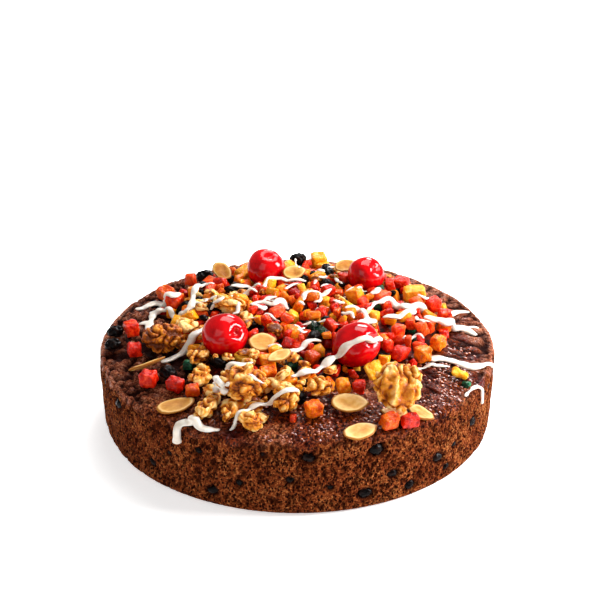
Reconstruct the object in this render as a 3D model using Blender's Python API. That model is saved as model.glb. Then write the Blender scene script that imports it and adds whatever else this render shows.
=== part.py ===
"""Round fruit cake, 200 mm across, with a heap of candied fruit and nuts on its domed top.

Metres, +Z up. The origin is the middle of the flat base, and the front faces -Y.
Every topping piece is its own closed body. The small fruit that fills the middle of the
top is one body, cut clear of the larger pieces that sit in it.
"""
import math
import random
from collections import namedtuple

import bmesh
import bpy
from mathutils import Matrix, Vector, noise
from mathutils.bvhtree import BVHTree

MM = 0.001
GAP = 0.4 * MM  # air left between two pieces that touch
CUT_CLEARANCE = 0.35 * MM  # air around a piece that sits in the fruit mix

# The cake: a straight side that bulges a little, a rounded shoulder and a low dome.
CAKE_RADIUS = 100.0 * MM
BASE_RADIUS = 99.0 * MM
BASE_EDGE = 1.5 * MM
SHOULDER_HEIGHT = 37.0 * MM
SHOULDER_ROUND = 3.5 * MM
CROWN_HEIGHT = 46.5 * MM
CROWN_POWER = 2.4
CAKE_SEGMENTS = 48
SIDE_WAVE = 0.7 * MM
TOP_WAVE = 0.6 * MM
WAVE_LENGTH = 26.0 * MM

# The fruit mix: its outline radius every 30 degrees from +X, counter-clockwise.
MIX_OUTLINE_MM = (75, 80, 82, 84, 82, 74, 60, 58, 68, 66, 52, 64)
MIX_DEPTH = 12.0 * MM
MIX_EDGE_DEPTH = 6.0 * MM
MIX_EDGE_HEIGHT = 0.4  # where the widest line lies, as a share of the edge's depth
MIX_LUMP = 2.4 * MM
MIX_LUMP_LENGTH = 9.0 * MM
MIX_RAGGED = 4.0 * MM  # how far the outline wanders, and how many bumps it has a radian
MIX_RAGGED_COUNT = 6.0
MIX_SEGMENTS = 42
MIX_RINGS = 14
MIX_FLOOR_GAP = 0.5 * MM

# A piece's place: x and y of its centre and its lift above the cake's top, in mm. Without
# a lift it is lowered onto the cake. Then its turns in degrees: spin about its own short
# axis, tilt of its upper face towards the front, and turn of the whole about the vertical.
Place = namedtuple("Place", "x y lift spin tilt turn")

# Glace cherries: diameter and place.
CHERRIES = (
    (23.0, Place(-35.5, -25.5, None, 0, 55, 30)),
    (21.0, Place(-16.5, 50.0, 13.4, 0, 35, 40)),
    (20.0, Place(36.4, 43.5, 12.5, 0, 45, 50)),
    (23.4, Place(28.7, -36.0, 12.3, 0, 60, 25)),
)
CHERRY_FLATNESS = 0.93
CHERRY_DIMPLE = 0.2
CHERRY_DIMPLE_WIDTH = 0.35
CHERRY_UNEVEN = 0.03
CHERRY_LUMPS = 1.3

# Walnut pieces: length, width, thickness and place, the largest first.
WALNUTS = (
    ((25, 23, 11), Place(47.3, -72.0, 13.5, 55, 46, 8)),
    ((24, 18, 12), Place(-25.5, -69.5, 12.5, -12, 22, 0)),
    ((20, 17, 12), Place(-67.2, -13.5, None, 10, 12, 0)),
    ((15, 13, 13), Place(-6.0, -75.0, None, 80, 20, 0)),
    ((16, 11, 9), Place(10.0, -68.5, 8.5, 12, 18, 0)),
    ((19, 12, 9), Place(-35.0, 9.5, 11.5, -18, 15, 0)),
    ((15, 11, 9), Place(-46.8, -49.5, None, 60, 20, 0)),
    ((12, 9.5, 9), Place(-49.3, -35.0, 7.0, 20, 15, 0)),
    ((14, 9, 8), Place(-55.0, -4.5, 7.0, -10, 12, 0)),
    ((16, 9, 9), Place(-42.3, -77.0, None, 68, 25, -10)),
    ((12, 10, 7.5), Place(-20.8, -88.0, None, 15, 16, -8)),
    ((12, 7, 8), Place(-32.5, -81.5, None, 75, 20, 0)),
)
WALNUT_FOLD = 0.2
WALNUT_FOLDS = 1.9
WALNUT_GROOVE = 0.22
WALNUT_GROOVE_WIDTH = 0.22
LARGE_WALNUTS = 4

# Almond flakes: length, width and place.
ALMONDS = (
    ((19.0, 11.0), Place(-57.5, -68.5, None, 62, 7, -41)),
    ((19.0, 9.5), Place(-73.5, -37.5, 5.5, -31, -35, 37)),
    ((13.5, 11.5), Place(-17.0, -28.5, 9.5, 8, 22, 0)),
    ((13.5, 7.5), Place(-8.8, -46.2, 11.8, 36, 12, 0)),
    ((18.0, 11.5), Place(24.8, -74.5, 4.6, -4, 18, 0)),
    ((17.5, 10.5), Place(29.2, -91.2, None, 10, 9, 18)),
    ((14.0, 8.0), Place(58.3, -75.0, None, -72, 12, 38)),
    ((13.0, 8.0), Place(45.5, -76.0, None, -38, 6, 30)),
    ((13.0, 8.5), Place(-39.8, 50.5, 12.0, -48, 30, 0)),
    ((12.5, 9.0), Place(-1.5, 42.0, 14.0, 12, 25, 0)),
    ((11.5, 7.5), Place(25.5, 55.0, 13.0, 22, 30, 0)),
)
ALMOND_THICKNESS = 1.8 * MM
ALMOND_TAPER = 0.34
ALMOND_POINT = 0.25

# Diced candied peel and fruit: colour, length, width, height and place.
DICE = (
    ("red", (8, 7, 7), Place(-84.5, 3.5, None, 22, 6, -90)),
    ("red", (7.5, 7, 6.5), Place(-81.0, -19.0, None, -4, 6, -75)),
    ("red", (8, 7.5, 7.5), Place(-72.0, -49.0, None, 38, 8, -55)),
    ("red", (7.5, 6.5, 6.5), Place(-58.5, -54.5, None, 12, 6, -48)),
    ("orange", (7, 6, 6), Place(-50.0, -60.3, None, 30, 10, -33)),
    ("orange", (8, 7, 7), Place(7.5, -79.0, None, 20, 8, 0)),
    ("orange", (8.5, 7, 6.5), Place(42.9, -86.0, None, 4, 10, 26)),
    ("red", (9, 6, 5.5), Place(52.5, -84.0, None, -10, 14, 32)),
    ("orange", (8, 7, 7), Place(-14.2, -52.6, 6.6, 12, 10, 0)),
    ("orange", (6.5, 6.5, 6.5), Place(21.8, -63.8, 6.5, 12, 10, 0)),
    ("red", (6.5, 6.5, 6.5), Place(29.4, -63.0, 6.0, -6, 10, 0)),
    ("yellow", (9, 8.5, 3.5), Place(37.2, -49.0, 6.5, 20, 40, 10)),
    ("orange", (7.5, 7.5, 7.5), Place(62.0, -27.5, None, 18, 0, 0)),
    ("orange", (7.5, 7, 6.5), Place(70.5, -13.5, None, -20, 4, 78)),
    ("yellow", (8.5, 5.5, 3), Place(79.0, -41.0, None, -60, 24, 55)),
    ("orange", (11, 8, 8), Place(61.2, 34.0, 7.0, 8, 6, 0)),
    ("red", (8, 7, 6.5), Place(55.5, 47.5, 7.0, -15, 8, 0)),
    ("red", (7.5, 7, 7.5), Place(70.6, 26.5, None, 28, 6, 0)),
    ("red", (7.5, 7, 7.5), Place(75.8, 14.5, None, 10, 6, 80)),
    ("orange", (8, 7.5, 6.5), Place(-70.0, 44.5, None, 18, 6, -60)),
    ("red", (8.5, 8, 7.5), Place(-64.0, 31.5, None, -25, 4, 0)),
    ("yellow", (8.5, 7.5, 6.5), Place(11.5, 79.5, 7.0, 15, 8, 0)),
)
DICE_ROUND = 0.9 * MM
DICE_UNEVEN = 0.3 * MM

# Raisins: length, width, height and place.
RAISINS = (
    ((9, 7, 5.5), Place(-93.0, 5.0, None, 70, 8, -90)),
    ((9, 7, 5), Place(-93.0, -9.0, None, 95, 8, -85)),
    ((10, 8, 6.5), Place(-63.0, -43.5, None, 20, 6, -55)),
    ((10, 8, 7), Place(0.5, 77.0, 7.5, 15, 0, 0)),
    ((10, 8, 7), Place(-49.5, 56.5, 7.0, 30, 5, 0)),
)
RAISIN_WRINKLE = 0.14
RAISIN_CREASES = 2.4

COLOURS = {
    "cake": ((0.13, 0.042, 0.018), 0.75),
    "fruit_mix": ((0.30, 0.035, 0.012), 0.45),
    "cherry": ((0.60, 0.005, 0.010), 0.12),
    "walnut": ((0.56, 0.26, 0.06), 0.50),
    "almond": ((0.74, 0.45, 0.16), 0.50),
    "red": ((0.66, 0.030, 0.012), 0.30),
    "orange": ((0.80, 0.190, 0.010), 0.30),
    "yellow": ((0.82, 0.420, 0.020), 0.30),
    "raisin": ((0.018, 0.009, 0.009), 0.35),
}


def make_material(name):
    """Return a new Principled material with the named finish's colour and roughness."""
    colour, roughness = COLOURS[name]
    material = bpy.data.materials.new(name)
    material.use_nodes = True
    shader = material.node_tree.nodes["Principled BSDF"]
    shader.inputs["Base Color"].default_value = (*colour, 1.0)
    shader.inputs["Roughness"].default_value = roughness
    shader.inputs["Metallic"].default_value = 0.0
    material.diffuse_color = (*colour, 1.0)
    return material


def start_collection(name):
    """Return a new collection linked to the scene."""
    collection = bpy.data.collections.new(name)
    bpy.context.scene.collection.children.link(collection)
    return collection


def finish_object(name, shape, material, collection, smooth=True):
    """Make a named object from a closed bmesh, with faces pointing out."""
    bmesh.ops.recalc_face_normals(shape, faces=shape.faces)
    mesh = bpy.data.meshes.new(name)
    shape.to_mesh(mesh)
    shape.free()
    if smooth:
        mesh.shade_smooth()
    mesh.materials.append(material)
    piece = bpy.data.objects.new(name, mesh)
    collection.objects.link(piece)
    return piece


def cake_top(radius):
    """Height of the cake's top at a distance from its axis: a low dome, then the shoulder."""
    rim = CAKE_RADIUS - SHOULDER_ROUND
    rim_height = SHOULDER_HEIGHT + SHOULDER_ROUND
    if radius <= rim:
        return rim_height + (CROWN_HEIGHT - rim_height) * (1 - (radius / rim) ** CROWN_POWER)
    across = min((radius - rim) / SHOULDER_ROUND, 1.0)
    return SHOULDER_HEIGHT + SHOULDER_ROUND * math.sqrt(1 - across ** 2)


def cake_profile():
    """Half outline of the cake as (radius, height), from the base's middle to the crown."""
    points = [(0.0, 0.0), (BASE_RADIUS - BASE_EDGE, 0.0)]
    side_steps = 5
    for step in range(side_steps + 1):
        share = step / side_steps
        bulge = math.sin(share * math.pi / 2)
        radius = BASE_RADIUS + (CAKE_RADIUS - BASE_RADIUS) * bulge
        points.append((radius, BASE_EDGE + (SHOULDER_HEIGHT - BASE_EDGE) * share))
    rim = CAKE_RADIUS - SHOULDER_ROUND
    for angle in (30, 60, 90):
        radius = rim + SHOULDER_ROUND * math.cos(math.radians(angle))
        points.append((radius, cake_top(radius)))
    for share in (0.92, 0.78, 0.6, 0.4, 0.2, 0.0):
        points.append((rim * share, cake_top(rim * share)))
    return points


def roughen_cake(shape):
    """Give the side and the open part of the top soft waves, and keep the base flat."""
    bare_top_from = 0.6 * CAKE_RADIUS
    for vert in shape.verts:
        radius = vert.co.xy.length
        if radius < 1e-6:
            continue
        outward = Vector((vert.co.x, vert.co.y, 0.0)) / radius
        wave = noise.noise(vert.co / WAVE_LENGTH)
        ripple = noise.noise(vert.co / WAVE_LENGTH + Vector((7.0, 3.0, 5.0)))
        bare = max(0.0, (radius - bare_top_from) / (CAKE_RADIUS - bare_top_from))
        vert.co += outward * wave * SIDE_WAVE * bare
        vert.co.z += ripple * TOP_WAVE * bare * min(vert.co.z / SHOULDER_HEIGHT, 1.0)


def centre_cake(shape):
    """Bring the waved body back to its full width, centred on the axis."""
    width = 2 * CAKE_RADIUS
    for axis in (0, 1):
        low = min(vert.co[axis] for vert in shape.verts)
        high = max(vert.co[axis] for vert in shape.verts)
        for vert in shape.verts:
            vert.co[axis] = (vert.co[axis] - (low + high) / 2) * width / (high - low)


def build_cake(material, collection):
    """Turn the profile into the body, then roughen it."""
    shape = bmesh.new()
    verts = [shape.verts.new((radius, 0.0, height)) for radius, height in cake_profile()]
    edges = [shape.edges.new(pair) for pair in zip(verts, verts[1:])]
    bmesh.ops.spin(shape, geom=verts + edges, cent=(0, 0, 0), axis=(0, 0, 1),
                   angle=2 * math.pi, steps=CAKE_SEGMENTS, use_merge=True)
    bmesh.ops.remove_doubles(shape, verts=shape.verts, dist=0.01 * MM)
    roughen_cake(shape)
    centre_cake(shape)
    return finish_object("cake", shape, material, collection)


def mix_radius(angle, share):
    """Radius of the fruit mix in a direction, at a share of the way to its ragged outline."""
    count = len(MIX_OUTLINE_MM)
    turn = (angle / (2 * math.pi) * count) % count
    index = int(turn)
    ease = (1 - math.cos((turn - index) * math.pi)) / 2
    here, there = MIX_OUTLINE_MM[index % count], MIX_OUTLINE_MM[(index + 1) % count]
    ragged = noise.noise(Vector((math.cos(angle), math.sin(angle), 0.0)) * MIX_RAGGED_COUNT)
    return share * ((here + (there - here) * ease) * MM + ragged * MIX_RAGGED * share ** 3)


def mix_depth(x, y, share):
    """Depth of the fruit mix over the cake's top, at a share of the way to its outline."""
    spread = MIX_EDGE_DEPTH + (MIX_DEPTH - MIX_EDGE_DEPTH) * (1 - share ** 2)
    lump = noise.noise(Vector((x, y, 0.0)) / MIX_LUMP_LENGTH) * MIX_LUMP
    return spread + lump


def build_fruit_mix(material, collection):
    """Shape a ball into the low lumpy heap that covers the middle of the cake's top."""
    shape = bmesh.new()
    bmesh.ops.create_uvsphere(shape, u_segments=MIX_SEGMENTS, v_segments=MIX_RINGS, radius=1.0)
    for vert in shape.verts:
        angle = math.atan2(vert.co.y, vert.co.x)
        latitude = math.asin(max(-1.0, min(1.0, vert.co.z)))
        share = 1 - abs(latitude) / (math.pi / 2)
        radius = mix_radius(angle, share)
        x, y = radius * math.cos(angle), radius * math.sin(angle)
        floor = cake_top(radius) + MIX_FLOOR_GAP
        depth = mix_depth(x, y, share)
        if abs(latitude) < 1e-4:
            height = floor + depth * MIX_EDGE_HEIGHT
        elif latitude > 0:
            height = floor + depth
        else:
            height = floor
        vert.co = (x, y, height)
    return finish_object("fruit_mix", shape, material, collection)


def cherry_shape(diameter):
    """A slightly flat ball with the dimple that its stone was pressed out of."""
    shape = bmesh.new()
    bmesh.ops.create_uvsphere(shape, u_segments=16, v_segments=10, radius=1.0)
    for vert in shape.verts:
        if vert.co.z > 0:
            across = vert.co.xy.length / CHERRY_DIMPLE_WIDTH
            vert.co.z -= CHERRY_DIMPLE * math.exp(-across ** 2)
        vert.co *= 1 + CHERRY_UNEVEN * noise.noise(vert.co * CHERRY_LUMPS)
    radius = diameter / 2 * MM
    bmesh.ops.scale(shape, vec=(radius, radius, radius * CHERRY_FLATNESS), verts=shape.verts)
    return shape


def walnut_shape(size, seed, subdivisions):
    """A kernel piece: a folded ball with a groove along its length between two lobes."""
    shape = bmesh.new()
    bmesh.ops.create_icosphere(shape, subdivisions=subdivisions, radius=1.0)
    shift = Vector((seed * 3.1, seed * 1.7, seed * 2.3))
    for vert in shape.verts:
        direction = vert.co.copy()
        fold = abs(noise.noise(direction * WALNUT_FOLDS + shift)) * 2 - 0.5
        groove = math.exp(-(direction.y / WALNUT_GROOVE_WIDTH) ** 2) * max(direction.z, 0.0)
        vert.co = direction * (1 + WALNUT_FOLD * fold)
        vert.co.z -= WALNUT_GROOVE * groove
    half = Vector(size) / 2 * MM
    bmesh.ops.scale(shape, vec=half, verts=shape.verts)
    return shape


def almond_shape(length, width):
    """A thin flake of kernel, broad at one end and pointed at the other."""
    shape = bmesh.new()
    bmesh.ops.create_uvsphere(shape, u_segments=14, v_segments=4, radius=1.0)
    for vert in shape.verts:
        vert.co.y *= 1 - ALMOND_TAPER * vert.co.x - ALMOND_POINT * max(vert.co.x, 0.0) ** 3
    half = (length / 2 * MM, width / 2 * MM, ALMOND_THICKNESS / 2)
    bmesh.ops.scale(shape, vec=half, verts=shape.verts)
    return shape


def dice_shape(size, seed):
    """A cut cube of candied fruit with worn edges, a little out of true."""
    shape = bmesh.new()
    bmesh.ops.create_cube(shape, size=1.0)
    bmesh.ops.scale(shape, vec=Vector(size) * MM, verts=shape.verts)
    chance = random.Random(seed)
    for vert in shape.verts:
        vert.co += Vector([chance.uniform(-DICE_UNEVEN, DICE_UNEVEN) for _ in range(3)])
    bmesh.ops.bevel(shape, geom=shape.edges, offset=DICE_ROUND, offset_type="OFFSET",
                    segments=1, profile=0.5, affect="EDGES", material=-1)
    bmesh.ops.triangulate(shape, faces=shape.faces)
    return shape


def raisin_shape(size, seed):
    """A small wrinkled berry, dried flat."""
    shape = bmesh.new()
    bmesh.ops.create_uvsphere(shape, u_segments=10, v_segments=6, radius=1.0)
    for vert in shape.verts:
        crease = noise.noise(vert.co * RAISIN_CREASES + Vector((seed, 0.0, 0.0)))
        vert.co *= 1 + RAISIN_WRINKLE * crease
    bmesh.ops.scale(shape, vec=Vector(size) / 2 * MM, verts=shape.verts)
    return shape


def world_tree(piece):
    """Collision tree of a piece's mesh in world space."""
    verts = [piece.matrix_world @ vert.co for vert in piece.data.vertices]
    faces = [tuple(face.vertices) for face in piece.data.polygons]
    return BVHTree.FromPolygons(verts, faces)


def clearance(piece, cake):
    """Least height of a piece, held high, above the cake below it."""
    up, down = Vector((0, 0, 1)), Vector((0, 0, -1))
    corners = [piece.matrix_world @ vert.co for vert in piece.data.vertices]
    below, above = world_tree(cake), world_tree(piece)
    hits = [below.ray_cast(corner, down) for corner in corners]
    hits += [above.ray_cast(cake.matrix_world @ vert.co, up) for vert in cake.data.vertices]
    return min(hit[3] for hit in hits if hit[0])


def set_down(piece, place, cake):
    """Turn a piece and put it at its place, at its lift or down on the cake."""
    turn = Matrix.Rotation(math.radians(place.turn), 4, "Z")
    tilt = Matrix.Rotation(math.radians(place.tilt), 4, "X")
    spin = Matrix.Rotation(math.radians(place.spin), 4, "Z")
    x, y = place.x * MM, place.y * MM
    high_up = 1.0
    lift = high_up if place.lift is None else place.lift * MM
    height = cake_top(math.hypot(x, y)) + lift
    piece.matrix_world = Matrix.Translation((x, y, height)) @ turn @ tilt @ spin
    if place.lift is None:
        drop = clearance(piece, cake) - GAP
        piece.matrix_world = Matrix.Translation((0, 0, -drop)) @ piece.matrix_world


def topping_shapes(materials):
    """Every large topping piece as (name, shape, material, smooth, place)."""
    for number, (diameter, place) in enumerate(CHERRIES, 1):
        yield f"cherry_{number}", cherry_shape(diameter), materials["cherry"], True, place
    for number, (size, place) in enumerate(WALNUTS, 1):
        subdivisions = 3 if number <= LARGE_WALNUTS else 2
        shape = walnut_shape(size, number, subdivisions)
        yield f"walnut_{number:02d}", shape, materials["walnut"], True, place
    for number, ((length, width), place) in enumerate(ALMONDS, 1):
        shape = almond_shape(length, width)
        yield f"almond_{number:02d}", shape, materials["almond"], True, place
    for number, (colour, size, place) in enumerate(DICE, 1):
        shape = dice_shape(size, number)
        yield f"candied_{colour}_{number:02d}", shape, materials[colour], False, place
    for number, (size, place) in enumerate(RAISINS, 1):
        yield f"raisin_{number}", raisin_shape(size, number), materials["raisin"], True, place


def build_toppings(cake, materials, collection):
    """Make every large topping piece and set it down."""
    pieces = []
    for name, shape, material, smooth, place in topping_shapes(materials):
        piece = finish_object(name, shape, material, collection, smooth)
        set_down(piece, place, cake)
        pieces.append(piece)
    return pieces


def cut_clear(mix, pieces, cutters):
    """Cut each piece's bed, a little larger than the piece, out of the fruit mix."""
    mix_tree = world_tree(mix)
    for piece in pieces:
        cutter = bpy.data.objects.new(f"bed_{piece.name}", piece.data)
        cutter.matrix_world = piece.matrix_world
        cutter.hide_render = True
        cutter.display_type = "WIRE"
        cutters.objects.link(cutter)
        grow = cutter.modifiers.new("clearance", "DISPLACE")
        grow.mid_level = 0.0
        grow.strength = CUT_CLEARANCE
        reach = piece.matrix_world.translation
        near = mix_tree.find_nearest(reach)[3] < max(piece.dimensions) / 2 + CUT_CLEARANCE
        if near:
            bed = mix.modifiers.new(cutter.name, "BOOLEAN")
            bed.operation = "DIFFERENCE"
            bed.solver = "EXACT"
            bed.object = cutter


def build_fruit_cake():
    """Build the whole cake."""
    for old in list(bpy.data.objects):
        bpy.data.objects.remove(old, do_unlink=True)
    materials = {name: make_material(name) for name in COLOURS}
    parts = start_collection("fruit_cake")
    cutters = start_collection("cutters")
    cake = build_cake(materials["cake"], parts)
    toppings = build_toppings(cake, materials, parts)
    mix = build_fruit_mix(materials["fruit_mix"], parts)
    cut_clear(mix, toppings, cutters)


build_fruit_cake()
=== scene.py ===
"""Round fruit cake with candied fruit, nuts and drizzled icing, dressed for the eye.

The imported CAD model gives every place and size. This script gives each piece its real
surface: baked crumb, folded nut kernels, clear candied fruit, wrinkled raisins and icing
that is draped over whatever lies below it. Metres throughout, +Z up, the front faces -Y.
"""

import logging
import math
import random
from dataclasses import dataclass, field
from enum import Enum
from typing import Sequence

import bmesh
import bpy
import numpy as np
from mathutils import Matrix, Vector, noise


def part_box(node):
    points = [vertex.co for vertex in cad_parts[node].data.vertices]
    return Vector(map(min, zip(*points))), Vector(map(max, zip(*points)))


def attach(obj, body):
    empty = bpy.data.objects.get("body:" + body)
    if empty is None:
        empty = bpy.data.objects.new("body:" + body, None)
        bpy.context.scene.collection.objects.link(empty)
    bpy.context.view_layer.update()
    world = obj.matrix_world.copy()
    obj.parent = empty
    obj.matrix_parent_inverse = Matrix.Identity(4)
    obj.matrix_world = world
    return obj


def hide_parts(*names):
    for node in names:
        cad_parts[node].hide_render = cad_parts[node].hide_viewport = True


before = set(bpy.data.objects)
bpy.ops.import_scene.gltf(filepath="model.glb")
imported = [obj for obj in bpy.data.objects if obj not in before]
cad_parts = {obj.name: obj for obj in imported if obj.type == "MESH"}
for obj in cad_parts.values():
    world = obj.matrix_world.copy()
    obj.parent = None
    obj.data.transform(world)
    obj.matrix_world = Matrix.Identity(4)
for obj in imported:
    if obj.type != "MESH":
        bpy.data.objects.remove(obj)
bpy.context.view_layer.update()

MM = 0.001
LOG = logging.getLogger("fruit_cake")
Colour = tuple[float, float, float, float]
Tree = bpy.types.NodeTree
Socket = bpy.types.NodeSocket
Inputs = dict[str | int, object]
# A colour ramp: each stop's place from 0 to 1, and its colour's code.
Stops = tuple[tuple[float, str], ...]
# A raisin in the side: direction about the axis in degrees, height and length in mm.
SideSpot = tuple[float, float, float]
# A bead of icing: its place, and half its width in metres.
Bead = tuple[Vector, float]


# ---------------------------------------------------------------- small tools


def linear(code: str) -> Colour:
    """Turn an sRGB colour into the linear one that Blender works with.

    Args:
        code: The colour as "#rrggbb".

    Returns:
        Linear red, green, blue and an alpha of 1.
    """
    parts = [int(code[start:start + 2], 16) / 255 for start in (1, 3, 5)]
    bent = [part / 12.92 if part <= 0.04045 else ((part + 0.055) / 1.055) ** 2.4
            for part in parts]
    return (bent[0], bent[1], bent[2], 1.0)


def set_inputs(node: bpy.types.Node, inputs: Inputs) -> None:
    """Link or set a node's sockets.

    Args:
        node: The node.
        inputs: Socket name or number, and the node or socket to link or the value to set.
    """
    for name, value in inputs.items():
        if isinstance(value, bpy.types.Node):
            value = next(socket for socket in value.outputs if socket.enabled)
        if isinstance(value, Socket):
            node.id_data.links.new(value, node.inputs[name])
        else:
            node.inputs[name].default_value = value


def add_node(tree: Tree, kind: str, inputs: Inputs | None = None,
             **settings: object) -> bpy.types.Node:
    """Add one node with its settings and links.

    Args:
        tree: The node tree to add to.
        kind: The node's type, without the "ShaderNode" in front.
        inputs: What its sockets are linked or set to.
        settings: The node's own properties. "stops" are a ramp's (place, colour) pairs.

    Returns:
        The new node.
    """
    made = tree.nodes.new("ShaderNode" + kind)
    stops = settings.pop("stops", None)
    for name, value in settings.items():
        setattr(made, name, value)
    if stops:
        ramp = made.color_ramp
        while len(ramp.elements) < len(stops):
            ramp.elements.new(1.0)
        for element, (place, code) in zip(ramp.elements, stops):
            element.position = place
            element.color = linear(code)
    set_inputs(made, inputs or {})
    return made


def smoothstep(low: float, high: float, value: float) -> float:
    """Ease from 0 at low to 1 at high.

    Args:
        low: Where the ease starts.
        high: Where the ease ends.
        value: The value to ease.

    Returns:
        A share from 0 to 1.
    """
    share = min(max((value - low) / (high - low), 0.0), 1.0)
    return share * share * (3 - 2 * share)


def billow(place: Vector, size: float, shift: float = 0.0) -> float:
    """Rounded hills parted by narrow creases, as on a kernel or a dried skin.

    Args:
        place: The point, in metres.
        size: Width of a hill, in metres.
        shift: Moves the pattern, so that two pieces differ.

    Returns:
        0 in a crease, up to 1 on a hill.
    """
    spot = place / size + Vector((shift * 3.7, shift * 1.3, shift * 2.1))
    bend = 0.45 * noise.noise(spot * 0.8 + Vector((9.1, 4.4, 2.2)))
    value = abs(noise.noise(spot + Vector((bend, -bend, bend))))
    return min(value * 2.4, 1.0) ** 0.6


def polar(radius: float, angle: float) -> tuple[float, float]:
    """The x and y of a place at a distance from the axis, in a direction in radians."""
    return math.cos(angle) * radius, math.sin(angle) * radius


def ball(segments: int, rings: int) -> bmesh.types.BMesh:
    """A new ball of radius 1, divided like a globe.

    Args:
        segments: Steps round it.
        rings: Steps from pole to pole.

    Returns:
        The ball.
    """
    shape = bmesh.new()
    bmesh.ops.create_uvsphere(shape, u_segments=segments, v_segments=rings, radius=1.0)
    return shape


def softened_copy(node: str, cuts: int, rounds: int) -> bmesh.types.BMesh:
    """A finely divided working copy of a CAD node's mesh, with its edges worn round.

    Args:
        node: The node's name.
        cuts: How many times each edge is divided.
        rounds: How many times the points are evened out.

    Returns:
        A closed bmesh with its faces pointing out.
    """
    shape = bmesh.new()
    shape.from_mesh(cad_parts[node].data)
    bmesh.ops.remove_doubles(shape, verts=shape.verts, dist=0.01 * MM)
    bmesh.ops.recalc_face_normals(shape, faces=shape.faces)
    bmesh.ops.subdivide_edges(shape, edges=shape.edges, cuts=cuts, use_grid_fill=True)
    for _ in range(rounds):
        bmesh.ops.smooth_vert(shape, verts=shape.verts, factor=0.5, use_axis_x=True,
                              use_axis_y=True, use_axis_z=True)
    shape.normal_update()
    return shape


def turned_body(outline: Sequence[tuple[float, float]], segments: int) -> bmesh.types.BMesh:
    """A closed body of revolution, made by wrapping a flat grid round the axis.

    Args:
        outline: (radius, height) points that start and end on the axis.
        segments: Steps round the axis.

    Returns:
        The body, with its seam and poles closed and its faces pointing out.
    """
    shape = bmesh.new()
    rows = len(outline) - 1
    bmesh.ops.create_grid(shape, x_segments=segments, y_segments=rows, size=1.0)
    for vert in shape.verts:
        angle = (vert.co.x + 1) * math.pi
        radius, height = outline[round((vert.co.y + 1) / 2 * rows)]
        vert.co = (*polar(radius, angle), height)
    bmesh.ops.remove_doubles(shape, verts=shape.verts, dist=0.005 * MM)
    bmesh.ops.recalc_face_normals(shape, faces=shape.faces)
    return shape


def kept_mesh(name: str, shape: bmesh.types.BMesh) -> bpy.types.Mesh:
    """Turn a bmesh into a mesh.

    Args:
        name: The mesh's name.
        shape: The bmesh. It is freed.

    Returns:
        The new mesh.
    """
    mesh = bpy.data.meshes.new(name)
    shape.to_mesh(mesh)
    shape.free()
    return mesh


def add_object(name: str, data: bpy.types.ID) -> bpy.types.Object:
    """Add an object to the scene.

    Args:
        name: The object's name.
        data: Its mesh, light or camera.

    Returns:
        The new object.
    """
    made = bpy.data.objects.new(name, data)
    bpy.context.scene.collection.objects.link(made)
    return made


def names_of(start: str) -> list[str]:
    """CAD node names that start with the given words, in order."""
    return sorted(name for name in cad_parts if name.startswith(start))


@dataclass
class Axes:
    """Where a CAD node lies: its middle, its own axes from long to thin, and its sizes."""

    centre: Vector
    turn: Matrix
    sizes: Vector

    @classmethod
    def of(cls, node: str) -> "Axes":
        """Measure a CAD node.

        Args:
            node: The node's name.

        Returns:
            Its axes, with the thin one upwards and the long one towards its narrow end.
        """
        points = np.array([vert.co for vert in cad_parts[node].data.vertices])
        points = np.unique(points.round(7), axis=0)
        middle = (points.max(0) + points.min(0)) / 2
        spread = points - points.mean(0)
        _, vectors = np.linalg.eigh(spread.T @ spread)
        long, thin = Vector(vectors[:, 2]), Vector(vectors[:, 0])
        if thin.z < 0:
            thin.negate()
        along = spread @ np.array(long)
        if (along ** 3).sum() < 0:
            long.negate()
        wide = thin.cross(long)
        turn = Matrix((long, wide, thin)).transposed()
        local = (points - middle) @ np.array(turn)
        centre = Vector(middle) + turn @ Vector((local.max(0) + local.min(0)) / 2)
        return cls(centre, turn, Vector(local.max(0) - local.min(0)))

    def matrix(self) -> Matrix:
        """The turn and the place as one matrix."""
        return Matrix.Translation(self.centre) @ self.turn.to_4x4()


def stamp(shape: bmesh.types.BMesh, mesh: bpy.types.Mesh, matrix: Matrix) -> None:
    """Add a turned and placed copy of a mesh to a bmesh.

    Args:
        shape: The bmesh to add to.
        mesh: The form, which comes back unchanged.
        matrix: The copy's turn, size and place.
    """
    mesh.transform(matrix)
    shape.from_mesh(mesh)
    mesh.transform(matrix.inverted())


def drop_matrix(place: Vector, half: float, flat: float) -> Matrix:
    """The size and place of a drop.

    Args:
        place: Its middle.
        half: Half its width, in metres.
        flat: Its height against its width.

    Returns:
        The matrix for a ball of radius 1.
    """
    return Matrix.Translation(place) @ Matrix.Diagonal((half, half, half * flat, 1.0))


def surface_points(mesh: bpy.types.Mesh, spacing: float) -> np.ndarray:
    """Points spread over a mesh's faces.

    Args:
        mesh: The mesh to sample.
        spacing: Largest distance between points, in metres.

    Returns:
        An array of points, one in each row.
    """
    verts = np.empty(len(mesh.vertices) * 3, np.float32)
    mesh.vertices.foreach_get("co", verts)
    verts = verts.reshape(-1, 3).astype(float)
    mesh.calc_loop_triangles()
    corners = np.empty(len(mesh.loop_triangles) * 3, np.int32)
    mesh.loop_triangles.foreach_get("vertices", corners)
    a, b, c = (verts[corners.reshape(-1, 3)[:, side]] for side in range(3))
    longest = np.maximum.reduce([np.linalg.norm(side, axis=1) for side in (b - a, c - b, a - c)])
    cuts = np.clip(np.ceil(longest / spacing), 1, 24).astype(int)
    found = [verts]
    for count in np.unique(cuts):
        chosen = cuts == count
        for i in range(count):
            for j in range(count - i):
                u, v = (i + 1 / 3) / count, (j + 1 / 3) / count
                found.append(a[chosen] + (b - a)[chosen] * u + (c - a)[chosen] * v)
    return np.concatenate(found)


# ---------------------------------------------------------------- finishes


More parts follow.
